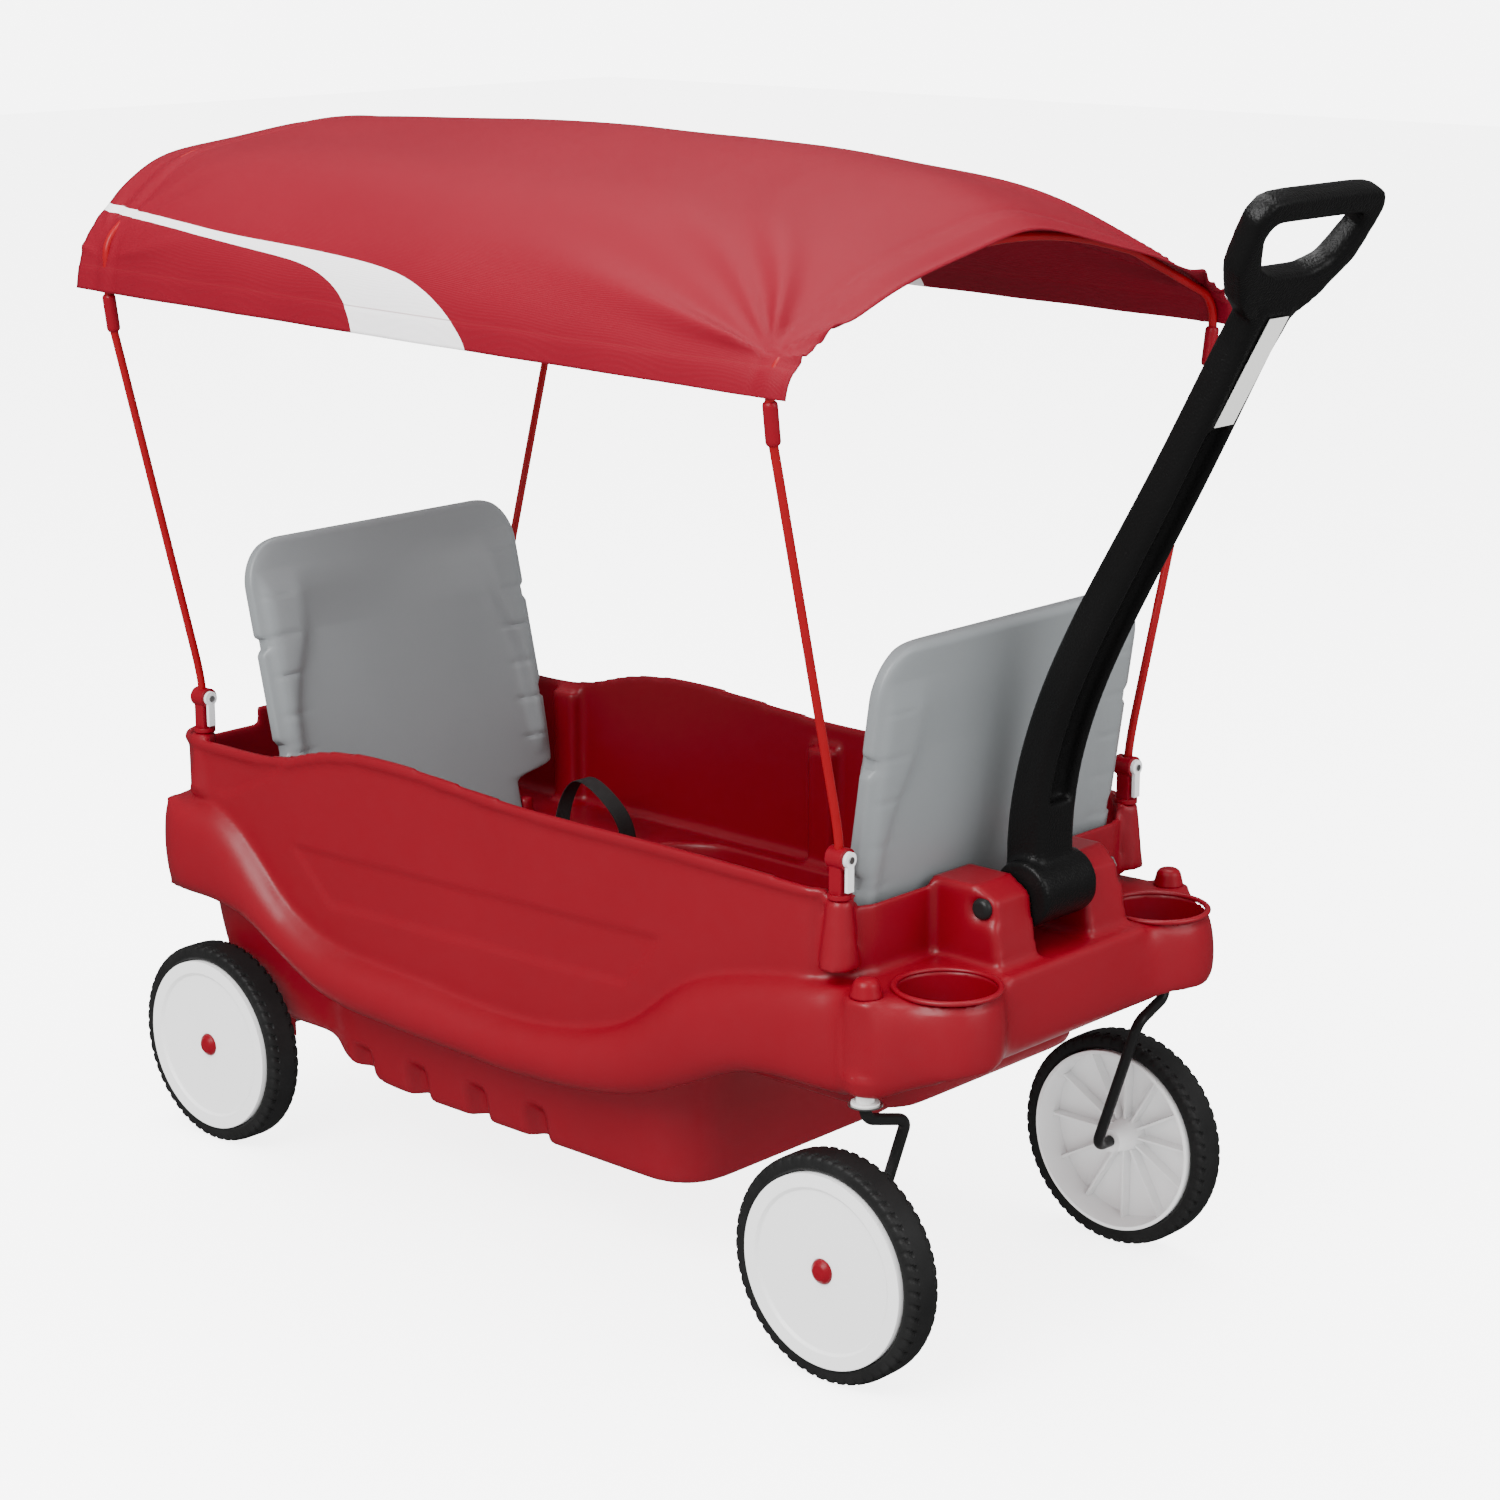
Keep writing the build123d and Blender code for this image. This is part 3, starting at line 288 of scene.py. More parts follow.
MOULD_GRID = 0.0046
BUMPER_LOW = np.array([(-0.72, 0.305), (-0.60, 0.300), (-0.53, 0.292), (-0.47, 0.264), (-0.40, 0.230),
                       (-0.26, 0.216), (-0.11, 0.211), (0.01, 0.217), (0.10, 0.236), (0.17, 0.266),
                       (0.235, 0.293), (0.52, 0.300)])
BUMPER_HIGH = np.array([(-0.72, 0.420), (-0.61, 0.414), (-0.565, 0.402), (-0.515, 0.368), (-0.45, 0.312),
                        (-0.385, 0.286), (-0.26, 0.276), (-0.11, 0.268), (0.0, 0.279), (0.09, 0.312),
                        (0.15, 0.358), (0.227, 0.388), (0.32, 0.405), (0.52, 0.408)])
BUMPER_SWELL = 0.005
BUMPER_SPINE = (-0.45, 0.20)  # the swell points away from this stretch of the middle line
BUMPER_BELOW, BUMPER_ABOVE = 0.030, 0.016  # how far past its edges the bumper's rolls blend in
WALL_HALF_W = 0.242
WALL_REAR_X, WALL_FRONT_X = -0.663, 0.366
WALL_FACE = WALL_HALF_W - 0.0022
HULL_TOP = 0.30
CUP_FLOOR_Z = 0.33
CUP_X, CUP_Y, CUP_R = 0.433, 0.171, 0.049
CUP_WALL = 0.0045
PIVOT_X, PIVOT_Y, PIVOT_PAD_R = 0.394, 0.245, 0.020
EAR_Y, EAR_X, EAR_Z = 0.116, 0.345, 0.385
SIDE_PANEL = [(-0.445, 0.390), (0.118, 0.404), (0.068, 0.345), (-0.385, 0.333)]
PANEL_DEPTH = 0.0022
NOTCHES_X = (-0.401, -0.310, -0.214, -0.121)
NOTCH_DEPTH, NOTCH_HALF_W, NOTCH_TOP = 0.015, 0.0145, 0.158
NOTCH_INNER_Y = 0.11
CREASE = np.array([(-0.56, 0.425), (-0.50, 0.450), (-0.43, 0.494), (-0.40, 0.512)])
CREASE_DEPTH = 0.003
CREASE_REAR_X = -0.60


def moulded_shape(corners, edges):
    """Rounds the shell as the mould does, then sinks its panel, notches and crease.

    All edges ease a little and the bumper's rolls a lot, clear of the cups, pivot pads and ears. The bumper
    swells by a half sine over its height, and the cup walls are drawn back to their radius.
    """
    everywhere = np.ones(len(corners))
    corners = eased(corners, edges, everywhere, 4, 0.5, 0.52)
    x, y, z = corners.T
    across = np.abs(y)
    outside = np.maximum.reduce([soft(across - WALL_HALF_W - 0.003, 0.005), soft(WALL_REAR_X - x, 0.005),
                                 soft(x - WALL_FRONT_X, 0.006)])
    band = (soft(z - np.interp(x, *BUMPER_LOW.T) + BUMPER_BELOW, 0.010)
            * soft(np.interp(x, *BUMPER_HIGH.T) + BUMPER_ABOVE - z, 0.008))
    from_cup = np.hypot(x - CUP_X, across - CUP_Y) - CUP_R
    from_pivot = np.hypot(x - PIVOT_X, across - PIVOT_Y) - PIVOT_PAD_R
    clear = np.where(z > CUP_FLOOR_Z, soft(from_cup - 0.0015, 0.006) * soft(from_pivot, 0.008), 1.0)
    ears = 1 - soft(EAR_Y - across, 0.008) * soft(x - EAR_X, 0.01) * soft(z - EAR_Z, 0.01)
    corners = eased(corners, edges, outside * band * clear * ears, 55)

    x, y, z = corners.T
    low, high = np.interp(x, *BUMPER_LOW.T), np.interp(x, *BUMPER_HIGH.T)
    swell = BUMPER_SWELL * np.sin(math.pi * np.clip((z - low) / (high - low), 0, 1)) * outside * clear
    away = np.stack([x - np.clip(x, *BUMPER_SPINE), y, 0 * z], 1)
    corners = corners + away / np.linalg.norm(away, axis=1, keepdims=True) * swell[:, None]

    x, y, z = corners.T
    from_cup = np.hypot(x - CUP_X, np.abs(y) - CUP_Y) - CUP_R
    wall = soft(CUP_WALL - np.abs(from_cup), 0.002) * soft(z - CUP_FLOOR_Z - 0.002, 0.004)
    outward = np.stack([x - CUP_X, y - np.sign(y) * CUP_Y, 0 * z], 1)
    outward = outward / np.maximum(np.linalg.norm(outward, axis=1, keepdims=True), 1e-6)
    corners = corners - outward * (from_cup * wall)[:, None]

    x, y, z = corners.T
    hull = soft(HULL_TOP - z, 0.03) * soft(np.interp(x, *BUMPER_LOW.T) - z, 0.02)
    corners = eased(corners, edges, hull, 16)

    x, y, z = corners.T
    across = np.abs(y)
    panel = soft(inside_outline(x, z, SIDE_PANEL, 0) + 0.003, 0.006) * (across > WALL_FACE)
    sunk = PANEL_DEPTH * panel
    for notch_x in NOTCHES_X:
        notch = np.exp(-((x - notch_x) / NOTCH_HALF_W) ** 4)
        sunk += NOTCH_DEPTH * notch * soft(NOTCH_TOP - z, 0.022) * soft(across - NOTCH_INNER_Y, 0.04)
    crease_front_x = CREASE[-1, 0]
    above = soft(z - np.interp(x, *CREASE.T), 0.006) * soft(crease_front_x - x, 0.02) * (across > WALL_FACE)
    sunk += CREASE_DEPTH * above * soft(x - CREASE_REAR_X, 0.06)
    return np.stack([x, y - np.sign(y) * sunk, z], 1)


def remoulded(name, node, grid, shape):
    """A CAD node's outer skin on an even grid of squares, then reshaped by shape(corners, edges)."""
    skin_corners, skin_triangles = merged_shell(node)
    rough_mesh = bpy.data.meshes.new(f"{name}_rough")
    rough_mesh.from_pydata(skin_corners.tolist(), [], skin_triangles.tolist())
    rough = placed(f"{name}_rough", rough_mesh)
    remesh = rough.modifiers.new("grid", "REMESH")
    remesh.mode = "VOXEL"
    remesh.voxel_size = grid
    mesh = bpy.data.meshes.new_from_object(rough.evaluated_get(bpy.context.evaluated_depsgraph_get()))
    bpy.data.objects.remove(rough)
    corners, edges = arrays(mesh)
    mesh.vertices.foreach_set("co", shape(corners, edges).ravel())
    mesh.update()
    mesh.shade_smooth()
    return placed(name, mesh)


SIDES = (("left", 1), ("right", -1))
CUP_LIP_HALF_W = 0.0032
CUP_LIP_HALF_H = 0.0026
CUP_LIP_OVERHANG = 0.8  # how far the lip's middle stands out from the bore, in half widths
LEDGE_Z = 0.4078


def lip_points(centre_y, steps=96, section=20):
    """Small ellipse carried round the cup's mouth, its middle at the height of the ledge."""
    turn = np.linspace(0, 2 * math.pi, steps + 1)[:, None]
    around = np.linspace(0, 2 * math.pi, section, endpoint=False)[None, :]
    reach = CUP_R + CUP_LIP_HALF_W * (CUP_LIP_OVERHANG + np.cos(around))
    return np.stack([CUP_X + reach * np.cos(turn), centre_y + reach * np.sin(turn),
                     LEDGE_Z + CUP_LIP_HALF_H * np.sin(around) + 0 * turn], -1)


tub = remoulded("tub_skin", "tub_shell", MOULD_GRID, moulded_shape)
fit(tub, "tub", "tub_plastic", tub_red, "tub_shell")
for side, sign in SIDES:
    fit(surface(f"cup_lip_{side}", lip_points(sign * CUP_Y)), "tub", "tub_plastic", tub_red)


# ---------------------------------------------------------------- running gear
# Axle, caster rods, clips, washers and bolts are steel: the rods are powder coated black, the rest is plated.
# The rods turn in white nylon bushes pushed into the tub's corner pads.


def plated(name, colour, roughness, streak):
    """Plated steel: fine turned streaks in roughness and bump."""
    finish = Finish(name, Metallic=1.0)
    stretched = finish.node("ShaderNodeMapping", None, {"Vector": finish.place, "Scale": streak})
    fine = finish.noise(900.0, 2.0, where=stretched)
    finish.feed("Base Color", finish.blend(fine, (*colour, 1.0), (*(0.8 * c for c in colour), 1.0)))
    finish.feed("Roughness", fine * 0.15 + roughness)
    finish.feed("Normal", finish.bump(fine, 0.00004, 0.5))
    return finish.material


def powder_coated(name, colour, roughness):
    """Powder coat: a fine orange-peel ripple over an even gloss."""
    finish = Finish(name, Specular_IOR_Level=0.2)
    peel = finish.noise(420.0, 2.0)
    darker = (*(0.75 * c for c in colour), 1.0)
    finish.feed("Base Color", finish.blend(finish.noise(30.0), (*colour, 1.0), darker))
    finish.feed("Roughness", peel * 0.1 + roughness)
    finish.feed("Normal", finish.bump(peel, 0.00012, 0.6))
    return finish.material


bright_steel = plated("bright_steel", (0.62, 0.62, 0.61), 0.28, (1.0, 0.08, 1.0))
black_rod = powder_coated("black_rod", (0.012, 0.012, 0.012), 0.3)
white_nylon = moulded("white_nylon", (0.80, 0.80, 0.79), (0.74, 0.74, 0.73), 0.42, edge=0.0006)
coat(["pivot_washers", "rear_axle", "rear_axle_clips", "seat_pins", "clamp_rivets", "handle_nut",
      "caster_clips_left", "caster_clips_right", "belt_anchors_rear", "belt_anchors_front"], bright_steel)
coat(["caster_rod_left", "caster_rod_right", "handle_bolt"], black_rod)
coat(["pivot_bushes", "axle_spacers", "handle_bushes"], white_nylon)
cap_red = moulded("cap_red", RED, DEEP_RED, 0.30, edge=0.003, Specular_IOR_Level=0.2)
coat(["pivot_caps", "axle_saddles"], cap_red)


# ---------------------------------------------------------------- wheels
# Each wheel is a white moulded disc with a raised ring, a black moulded tyre with blocks round its shoulders,
# and a red cap in the middle. The tyre is stretched over the rim.

ENDS = ("front", "rear")


def power(wave, exponent):
    """Signed power of a wave: squares off an ellipse as the exponent falls."""
    return np.sign(wave) * np.abs(wave) ** exponent


TREAD_BLOCKS = 54
TREAD_DEPTH = 0.0022
TREAD_GROOVE_Y = 0.0062
TREAD_GROOVE_HALF_W = 0.0011
TREAD_SHOULDER_Y = 0.0105
TREAD_SLANT = 260.0  # how fast the gaps lean with distance from the tyre's middle, in radians a metre


def tyre_points(centre, radius, bore, half_width):
    """Squared ellipse turned about the axle: two grooves run round it, blocks alternate on its shoulders."""
    turn = np.linspace(0, 2 * math.pi, TREAD_BLOCKS * 8, endpoint=False)[:, None]
    round_section = np.linspace(0, 2 * math.pi, 56, endpoint=False)[None, :]
    middle = (radius + bore) / 2
    y = half_width * power(np.cos(round_section), 0.42) + 0 * turn
    height = power(np.sin(round_section), 0.5)
    outward = np.clip(height, 0, 1) ** 3
    groove = np.exp(-((np.abs(y) - TREAD_GROOVE_Y) / TREAD_GROOVE_HALF_W) ** 4)
    slant = np.sign(y) * 0.5 * math.pi + np.abs(y) * TREAD_SLANT
    gap = np.clip(np.sin(TREAD_BLOCKS * turn + slant) * 3 - 1.2, 0, 1)
    shoulder = np.clip((np.abs(y) - TREAD_SHOULDER_Y) / 0.0015, 0, 1)
    cut = TREAD_DEPTH * np.maximum(groove, gap * shoulder) * np.clip(height * 3, 0, 1)
    r = middle + (radius - middle) * height - cut * np.maximum(outward, 0.35 * shoulder)
    y = y - np.sign(y) * cut * shoulder * 0.5
    points = np.stack([centre[0] + r * np.sin(turn), centre[1] + y, centre[2] + r * np.cos(turn)], -1)
    return np.concatenate([points, points[:1]])


tyre_finish = Finish("tyre_rubber", Specular_IOR_Level=0.12)
tyre_dust = tyre_finish.noise(24.0, 5.0, 0.6)
tyre_finish.feed("Base Color", tyre_finish.blend(tyre_dust, (0.007, 0.007, 0.007, 1.0),
                                                 (0.016, 0.016, 0.016, 1.0)))
tyre_finish.feed("Roughness", tyre_dust * 0.2 + 0.36)
tyre_finish.feed("Normal", tyre_finish.bump(tyre_finish.noise(700.0, 3.0), 0.0002, 0.6))
rim_white = moulded("rim_white", (0.86, 0.86, 0.86), (0.83, 0.83, 0.83), 0.36, edge=0.0016)
for end in ENDS:
    for side, _ in SIDES:
        corner = f"{end}_{side}"
        low, high = (np.array(c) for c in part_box(f"wheel_{corner}_tyre"))
        rim_low, rim_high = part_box(f"wheel_{corner}_rim")
        tyre = surface(f"tyre_{corner}", tyre_points((low + high) / 2, (high[2] - low[2]) / 2,
                                                     (rim_high[2] - rim_low[2]) / 2, (high[1] - low[1]) / 2))
        fit(tyre, f"wheel_{corner}", "tyre", tyre_finish.material, f"wheel_{corner}_tyre")
        coat([f"wheel_{corner}_rim"], rim_white)
        coat([f"wheel_{corner}_hub_cap"], cap_red)


# ---------------------------------------------------------------- handle
# The pull handle is one moulding in black plastic with a pebbled skin: barrel, arm and hand loop.
# Its cross bolt runs through the two ears of the tub, and a pale blank sticker lies on the arm.

handle_black = moulded("handle_black", (0.0055, 0.0055, 0.0055), (0.0035, 0.0035, 0.0035), 0.30,
                       grain=0.0009, grain_scale=430.0, edge=0.0, Specular_IOR_Level=0.16)
label_finish = moulded("label_pale", (0.72, 0.72, 0.70), (0.66, 0.66, 0.64), 0.5, edge=0.0)
HANDLE_GRID = 0.0026
HAND_LOOP_Z = 1.055
ARM_SHARE = 0.35  # how much the arm is rounded, against 1 for the hand loop


def handle_shape(corners, edges):
    """Rounds the arm a little and the hand loop a lot, as its bars are round to hold."""
    loop = soft(corners[:, 2] - HAND_LOOP_Z, 0.02)
    return eased(corners, edges, ARM_SHARE + (1 - ARM_SHARE) * loop, 26)


handle = remoulded("handle_skin", "handle_arm", HANDLE_GRID, handle_shape)
fit(handle, "handle", "black_plastic", handle_black, "handle_arm")
coat(["handle_label"], label_finish)


# ---------------------------------------------------------------- seat backs
# Two folding backs, blow moulded in grey polyethylene: a raised bolster down each side with short grooves,
# two notches in each edge, and a narrower foot that turns on pins in the tub.

SEAT_LENGTH = 0.37
SEAT_FOOT_HALF_W = 0.14
SEAT_HALF_T = 0.010
SEAT_FOOT_LENGTH = 0.038
SEAT_CORNER = 0.055
SEAT_EDGE_ROUND = 0.009
SEAT_TAPER, SEAT_TAPER_TOP = 0.006, 0.13  # the sides draw in by this much from here down
SEAT_NOTCHES = (SEAT_FOOT_LENGTH + 0.095, SEAT_FOOT_LENGTH + 0.215)
SEAT_NOTCH_DEPTH, SEAT_NOTCH_HALF_H = 0.007, 0.0085
BOLSTER_RISE = 0.0095
BOLSTER_BEND_Z = 0.23
GROOVE_DEPTH, GROOVE_HALF_H, GROOVE_PITCH = 0.0022, 0.0022, 0.045


def seat_points(hinge, lean, facing, half_width, rows=150, columns=132):
    """Rows of squared ellipses from foot to top, their width following the outline, leant back on the hinge.

    Two S-shaped bolsters rise from the face, and half as much from the back. Short level grooves cut them
    near each edge.
    """
    t = np.linspace(0, 1, rows)[:, None]
    up = -SEAT_HALF_T + (SEAT_LENGTH + SEAT_HALF_T) * (0.5 - 0.5 * np.cos(math.pi * t)) ** 0.9
    turn = np.linspace(0, 2 * math.pi, columns, endpoint=False)[None, :]
    above_foot = 1 / (1 + np.exp(-(up - SEAT_FOOT_LENGTH) / 0.0022))
    taper = SEAT_TAPER * (1 - np.clip(up / SEAT_TAPER_TOP, 0, 1))
    width = SEAT_FOOT_HALF_W + (half_width - SEAT_FOOT_HALF_W - taper) * above_foot
    rise = np.clip(up - (SEAT_LENGTH - SEAT_CORNER), 0, SEAT_CORNER)
    width = width - (SEAT_CORNER - np.sqrt(np.maximum(SEAT_CORNER ** 2 - rise ** 2, 0))) * 0.97
    for height in SEAT_NOTCHES:
        width = width - SEAT_NOTCH_DEPTH * np.exp(-((up - height) / SEAT_NOTCH_HALF_H) ** 8)
    end = np.minimum(up + SEAT_HALF_T, SEAT_LENGTH - up)
    thin = np.sqrt(np.clip(1 - (1 - np.clip(end / SEAT_EDGE_ROUND, 0, 1)) ** 2, 0.0, 1))
    width = width - SEAT_EDGE_ROUND * 0.5 * (1 - thin)
    y = width * power(np.cos(turn), 0.16)
    deep = SEAT_HALF_T * (0.25 + 0.75 * thin) * power(np.sin(turn), 0.42)

    bend = half_width - 0.050 - 0.022 * np.tanh((up - BOLSTER_BEND_Z) / 0.05)
    upright = np.clip((up - 0.055) / 0.03, 0, 1) * np.clip((SEAT_LENGTH - 0.035 - up) / 0.03, 0, 1)
    bolster = 1 / (1 + np.exp(-(np.abs(y) - bend) / 0.0035))
    fall = 1 / (1 + np.exp((np.abs(y) - (half_width - 0.011)) / 0.003))
    phase = (up - 0.08) / GROOVE_PITCH
    groove = np.exp(-((phase - np.round(phase)) * GROOVE_PITCH / GROOVE_HALF_H) ** 2)
    reach = np.clip((np.abs(y) - (half_width - 0.052)) / 0.01, 0, 1)
    relief = BOLSTER_RISE * bolster * fall * upright - GROOVE_DEPTH * groove * reach * upright * fall
    raised = np.clip(np.sin(turn) * 4, 0, 1) - 0.5 * np.clip(-np.sin(turn) * 4, 0, 1)
    x = deep + relief * raised
    sin, cos = math.sin(math.radians(lean)), math.cos(math.radians(lean))
    return np.stack([hinge[0] + facing * (x * cos - up * sin), y, hinge[1] + x * sin + up * cos], -1)


seat_finish = Finish("seat_grey", Specular_IOR_Level=0.5)
seat_cloud = seat_finish.noise(5.0, 4.0)
seat_speck = seat_finish.noise(900.0, 2.0)
seat_mottle = seat_cloud * 0.6 + seat_speck * 0.4
seat_finish.feed("Base Color", seat_finish.blend(seat_mottle, (0.145, 0.157, 0.163, 1.0),
                                                 (0.195, 0.207, 0.213, 1.0)))
seat_finish.feed("Roughness", seat_speck * 0.14 + 0.33)
seat_finish.feed("Normal", seat_finish.bump(seat_speck, 0.00016, 0.8))
for end, lean, facing in (("rear", 13.0, 1), ("front", 8.0, -1)):
    pivot = next(joint for joint in frame["joints"] if joint["name"] == f"seat_{end}_fold")["pos_m"]
    half_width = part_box(f"seat_back_{end}")[1][1]
    back = surface(f"seat_{end}_back", seat_points((pivot[0], pivot[2]), lean, facing, half_width), caps=True)
    fit(back, f"seat_{end}", "seat_plastic", seat_finish.material, f"seat_back_{end}")


# ---------------------------------------------------------------- lap belts
# Each bench has a lap belt of black webbing, bolted down at both ends and closed with a side-release buckle.
# A spare length stands up as a loop at the left end.

web_finish = Finish("webbing_black", Specular_IOR_Level=0.3)
web_across = web_finish.bands("Y", 160.0, 0.4)
web_finish.feed("Base Color", web_finish.blend(web_across, (0.006, 0.006, 0.006, 1.0),
                                               (0.022, 0.022, 0.022, 1.0)))
web_finish.feed("Roughness", web_across * 0.15 + 0.6)
web_finish.feed("Normal", web_finish.bump(web_across, 0.0005, 0.8))
WEB_W = 0.025
WEB_T = 0.0014
LOOP_Y = 0.135
LOOP_OFFSET = 0.068  # from the middle of the belt towards the cabin
LOOP_HALF_L = 0.052
LOOP_RISE = 0.068
LOOP_TWIST = 0.012


def strap(name, path):
    """Flat band of webbing carried along a path that runs mostly in X and Z, its width along Y."""
    along = np.gradient(path, axis=0)
    along = along / np.linalg.norm(along, axis=1, keepdims=True)
    face = np.cross(along, (0.0, 1.0, 0.0))
    turn = np.linspace(0, 2 * math.pi, 24, endpoint=False)[None, :, None]
    across = power(np.cos(turn), 0.25) * WEB_W / 2 * np.array((0.0, 1.0, 0.0))
    thick = power(np.sin(turn), 0.5) * WEB_T / 2 * face[:, None]
    return surface(name, path[:, None] + across + thick, caps=True)


for end, facing in (("rear", 1), ("front", -1)):
    web_low, web_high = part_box(f"belt_web_{end}")
    swing = np.linspace(0, math.pi, 70)
    middle = (web_low[0] + web_high[0]) / 2 + LOOP_OFFSET * facing
    loop_path = np.stack([middle - facing * LOOP_HALF_L * np.cos(swing) * (1 + 0.25 * np.sin(swing)),
                          LOOP_Y + LOOP_TWIST * np.sin(2.2 * swing),
                          web_high[2] - 0.001 + LOOP_RISE * np.sin(swing) ** 0.8], 1)
    tail = strap(f"belt_tail_{end}", loop_path)
    fit(tail, "tub", "webbing", web_finish.material)
    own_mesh(tail)
buckle_black = moulded("buckle_black", (0.014, 0.014, 0.014), (0.01, 0.01, 0.01), 0.35, edge=0.0012)
for end in ENDS:
    coat([f"belt_web_{end}"], web_finish.material)
    coat([f"belt_buckle_{end}"], buckle_black)


# ---------------------------------------------------------------- canopy frame and clamps
# Four slim steel poles, powder coated red, stand in clamps on the tub's corners, each with a pale cam lever.
# Two cross bows carry the cloth, and moulded sleeves join each pole to its bow.

POLE_R = 0.0045
POLE_FOOT_Y = 0.230
SLEEVE_R = 0.0072
SLEEVE_LENGTH = 0.040
SLEEVE_TAPER = 0.22  # share of its radius that a sleeve loses at each end


def tube(name, path, radius):
    """Rings square to a smooth path that runs mostly upwards, of one radius or of a radius for each point."""
    along = np.gradient(path, axis=0)
    along = along / np.linalg.norm(along, axis=1, keepdims=True)
    first = np.cross(along, (1.0, 0.0, 0.0))
    first = first / np.linalg.norm(first, axis=1, keepdims=True)
    second = np.cross(along, first)
    turn = np.linspace(0, 2 * math.pi, 28, endpoint=False)[None, :, None]
    reach = np.broadcast_to(radius, len(path))[:, None, None]
    ring = reach * (np.cos(turn) * first[:, None] + np.sin(turn) * second[:, None])
    return surface(name, path[:, None] + ring, caps=True)


def smoothed(values, reach, axis):
    """Gaussian average of values along an axis, with its ends held."""
    spread = np.exp(-0.5 * (np.arange(-3 * reach, 3 * reach + 1) / reach) ** 2)
    spread = spread / spread.sum()
    moved = np.moveaxis(values, axis, 0)
    lead = 2 * moved[:1] - moved[3 * reach:0:-1]
    tail = 2 * moved[-1:] - moved[-2:-3 * reach - 2:-1]
    padded = np.concatenate([lead, moved, tail])
    result = sum(weight * padded[k:k + len(moved)] for k, weight in enumerate(spread))
    return np.moveaxis(result, 0, axis)


def rounded_path(corners, steps=90, reach=4):
    """Even points along straight runs between corners, averaged so that the corners bend."""
    corners = np.array(corners)
    length = np.concatenate([[0], np.cumsum(np.linalg.norm(np.diff(corners, axis=0), axis=1))])
    even = np.linspace(0, length[-1], steps)
    return smoothed(np.stack([np.interp(even, length, corners[:, k]) for k in range(3)], 1), reach, 0)


pole_red = powder_coated("pole_red", (0.25, 0.001, 0.005), 0.28)
clamp_red = moulded("clamp_red", RED, DEEP_RED, 0.32, edge=0.002, Specular_IOR_Level=0.2)
lever_pale = moulded("lever_pale", (0.70, 0.71, 0.72), (0.64, 0.65, 0.66), 0.3, edge=0.0012)
for end in ENDS:
    coat([f"canopy_bow_{end}"], pole_red)
    for side, sign in SIDES:
        corner = f"{end}_{side}"
        pole_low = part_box(f"canopy_pole_{corner}")[0]
        sleeve_low, sleeve_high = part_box(f"canopy_sleeve_{corner}")
        clamp_low, clamp_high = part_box(f"pole_clamp_{corner}")
        top = np.array([(sleeve_low[k] + sleeve_high[k]) / 2 for k in (0, 1)] + [sleeve_high[2]])
        foot = np.array([(clamp_low[0] + clamp_high[0]) / 2, sign * POLE_FOOT_Y, clamp_high[2] + 0.004])
        lean = (top - foot) / (top[2] - foot[2])
        shoulder = top - lean * SLEEVE_LENGTH * (0.55, 0.55, 1.0)
        bends = [foot - (0, 0, foot[2] - pole_low[2]), foot, shoulder, top - (0, 0, SLEEVE_LENGTH / 2)]
        pole = tube(f"pole_{corner}", rounded_path(bends), POLE_R)
        fit(pole, "canopy", "red_steel", pole_red, f"canopy_pole_{corner}")
        step = np.linspace(0, 1, 24)
        near_end = np.clip(1 - np.minimum(step, 1 - step) * 12, 0, 1)
        swell = SLEEVE_R * (1 - SLEEVE_TAPER * near_end ** 2)
        sleeve = tube(f"sleeve_{corner}", top + (shoulder - top) * step[:, None], swell)
        fit(sleeve, "canopy", "clamp_plastic", clamp_red, f"canopy_sleeve_{corner}")
        coat([f"pole_clamp_{corner}"], clamp_red)
        coat([f"clamp_lever_{corner}"], lever_pale)


# ---------------------------------------------------------------- canopy
# One sheet of red woven polyester over the two bows, with a doubled hem and a pale curved flash on each side.
# It is stretched from bow to bow, so it folds into the corners and sags a little between them.

CANOPY_ROWS = np.array([
    # x, hem height, shoulder y and z, quarter y and z, ridge height
    [-0.640, 1.002, 0.339, 1.053, 0.238, 1.133, 1.159],
    [-0.597, 1.001, 0.343, 1.055, 0.237, 1.139, 1.166],
    [-0.490, 0.999, 0.342, 1.058, 0.235, 1.144, 1.172],
    [-0.160, 0.993, 0.342, 1.046, 0.235, 1.140, 1.180],
    [0.095, 0.989, 0.342, 1.034, 0.230, 1.126, 1.170],
    [0.270, 0.986, 0.342, 1.022, 0.215, 1.104, 1.154],
    [0.358, 0.984, 0.343, 1.012, 0.200, 1.072, 1.120],
    [0.379, 0.984, 0.342, 1.010, 0.200, 1.065, 1.109]])
CANOPY_HEM_Y = 0.343
CANOPY_STAND_OFF = 0.0066  # outer face of the cloth, from the middle of the bows
CLOTH_THICKNESS = 0.0014
HEM_DEPTH = 0.026
HEM_RISE, STITCH_SINK, STITCH_HALF_W = 0.0007, 0.0006, 0.0006
BOWS_X = (0.358, -0.597)
CANOPY_SHARES = np.array([0.0, 0.066, 0.24, 0.5, 0.76, 0.934, 1.0])  # where an arch's points lie along it
# Folds fan out of each end's corners: corner x, their angles in degrees, height and reach.
CORNER_FOLDS = ((0.352, (10, 24, 39, 57), 0.0105, 0.36), (-0.600, (12, 27, 45, 62), 0.0030, 0.16))
FOLD_START = 0.034  # how far above the hem the folds meet


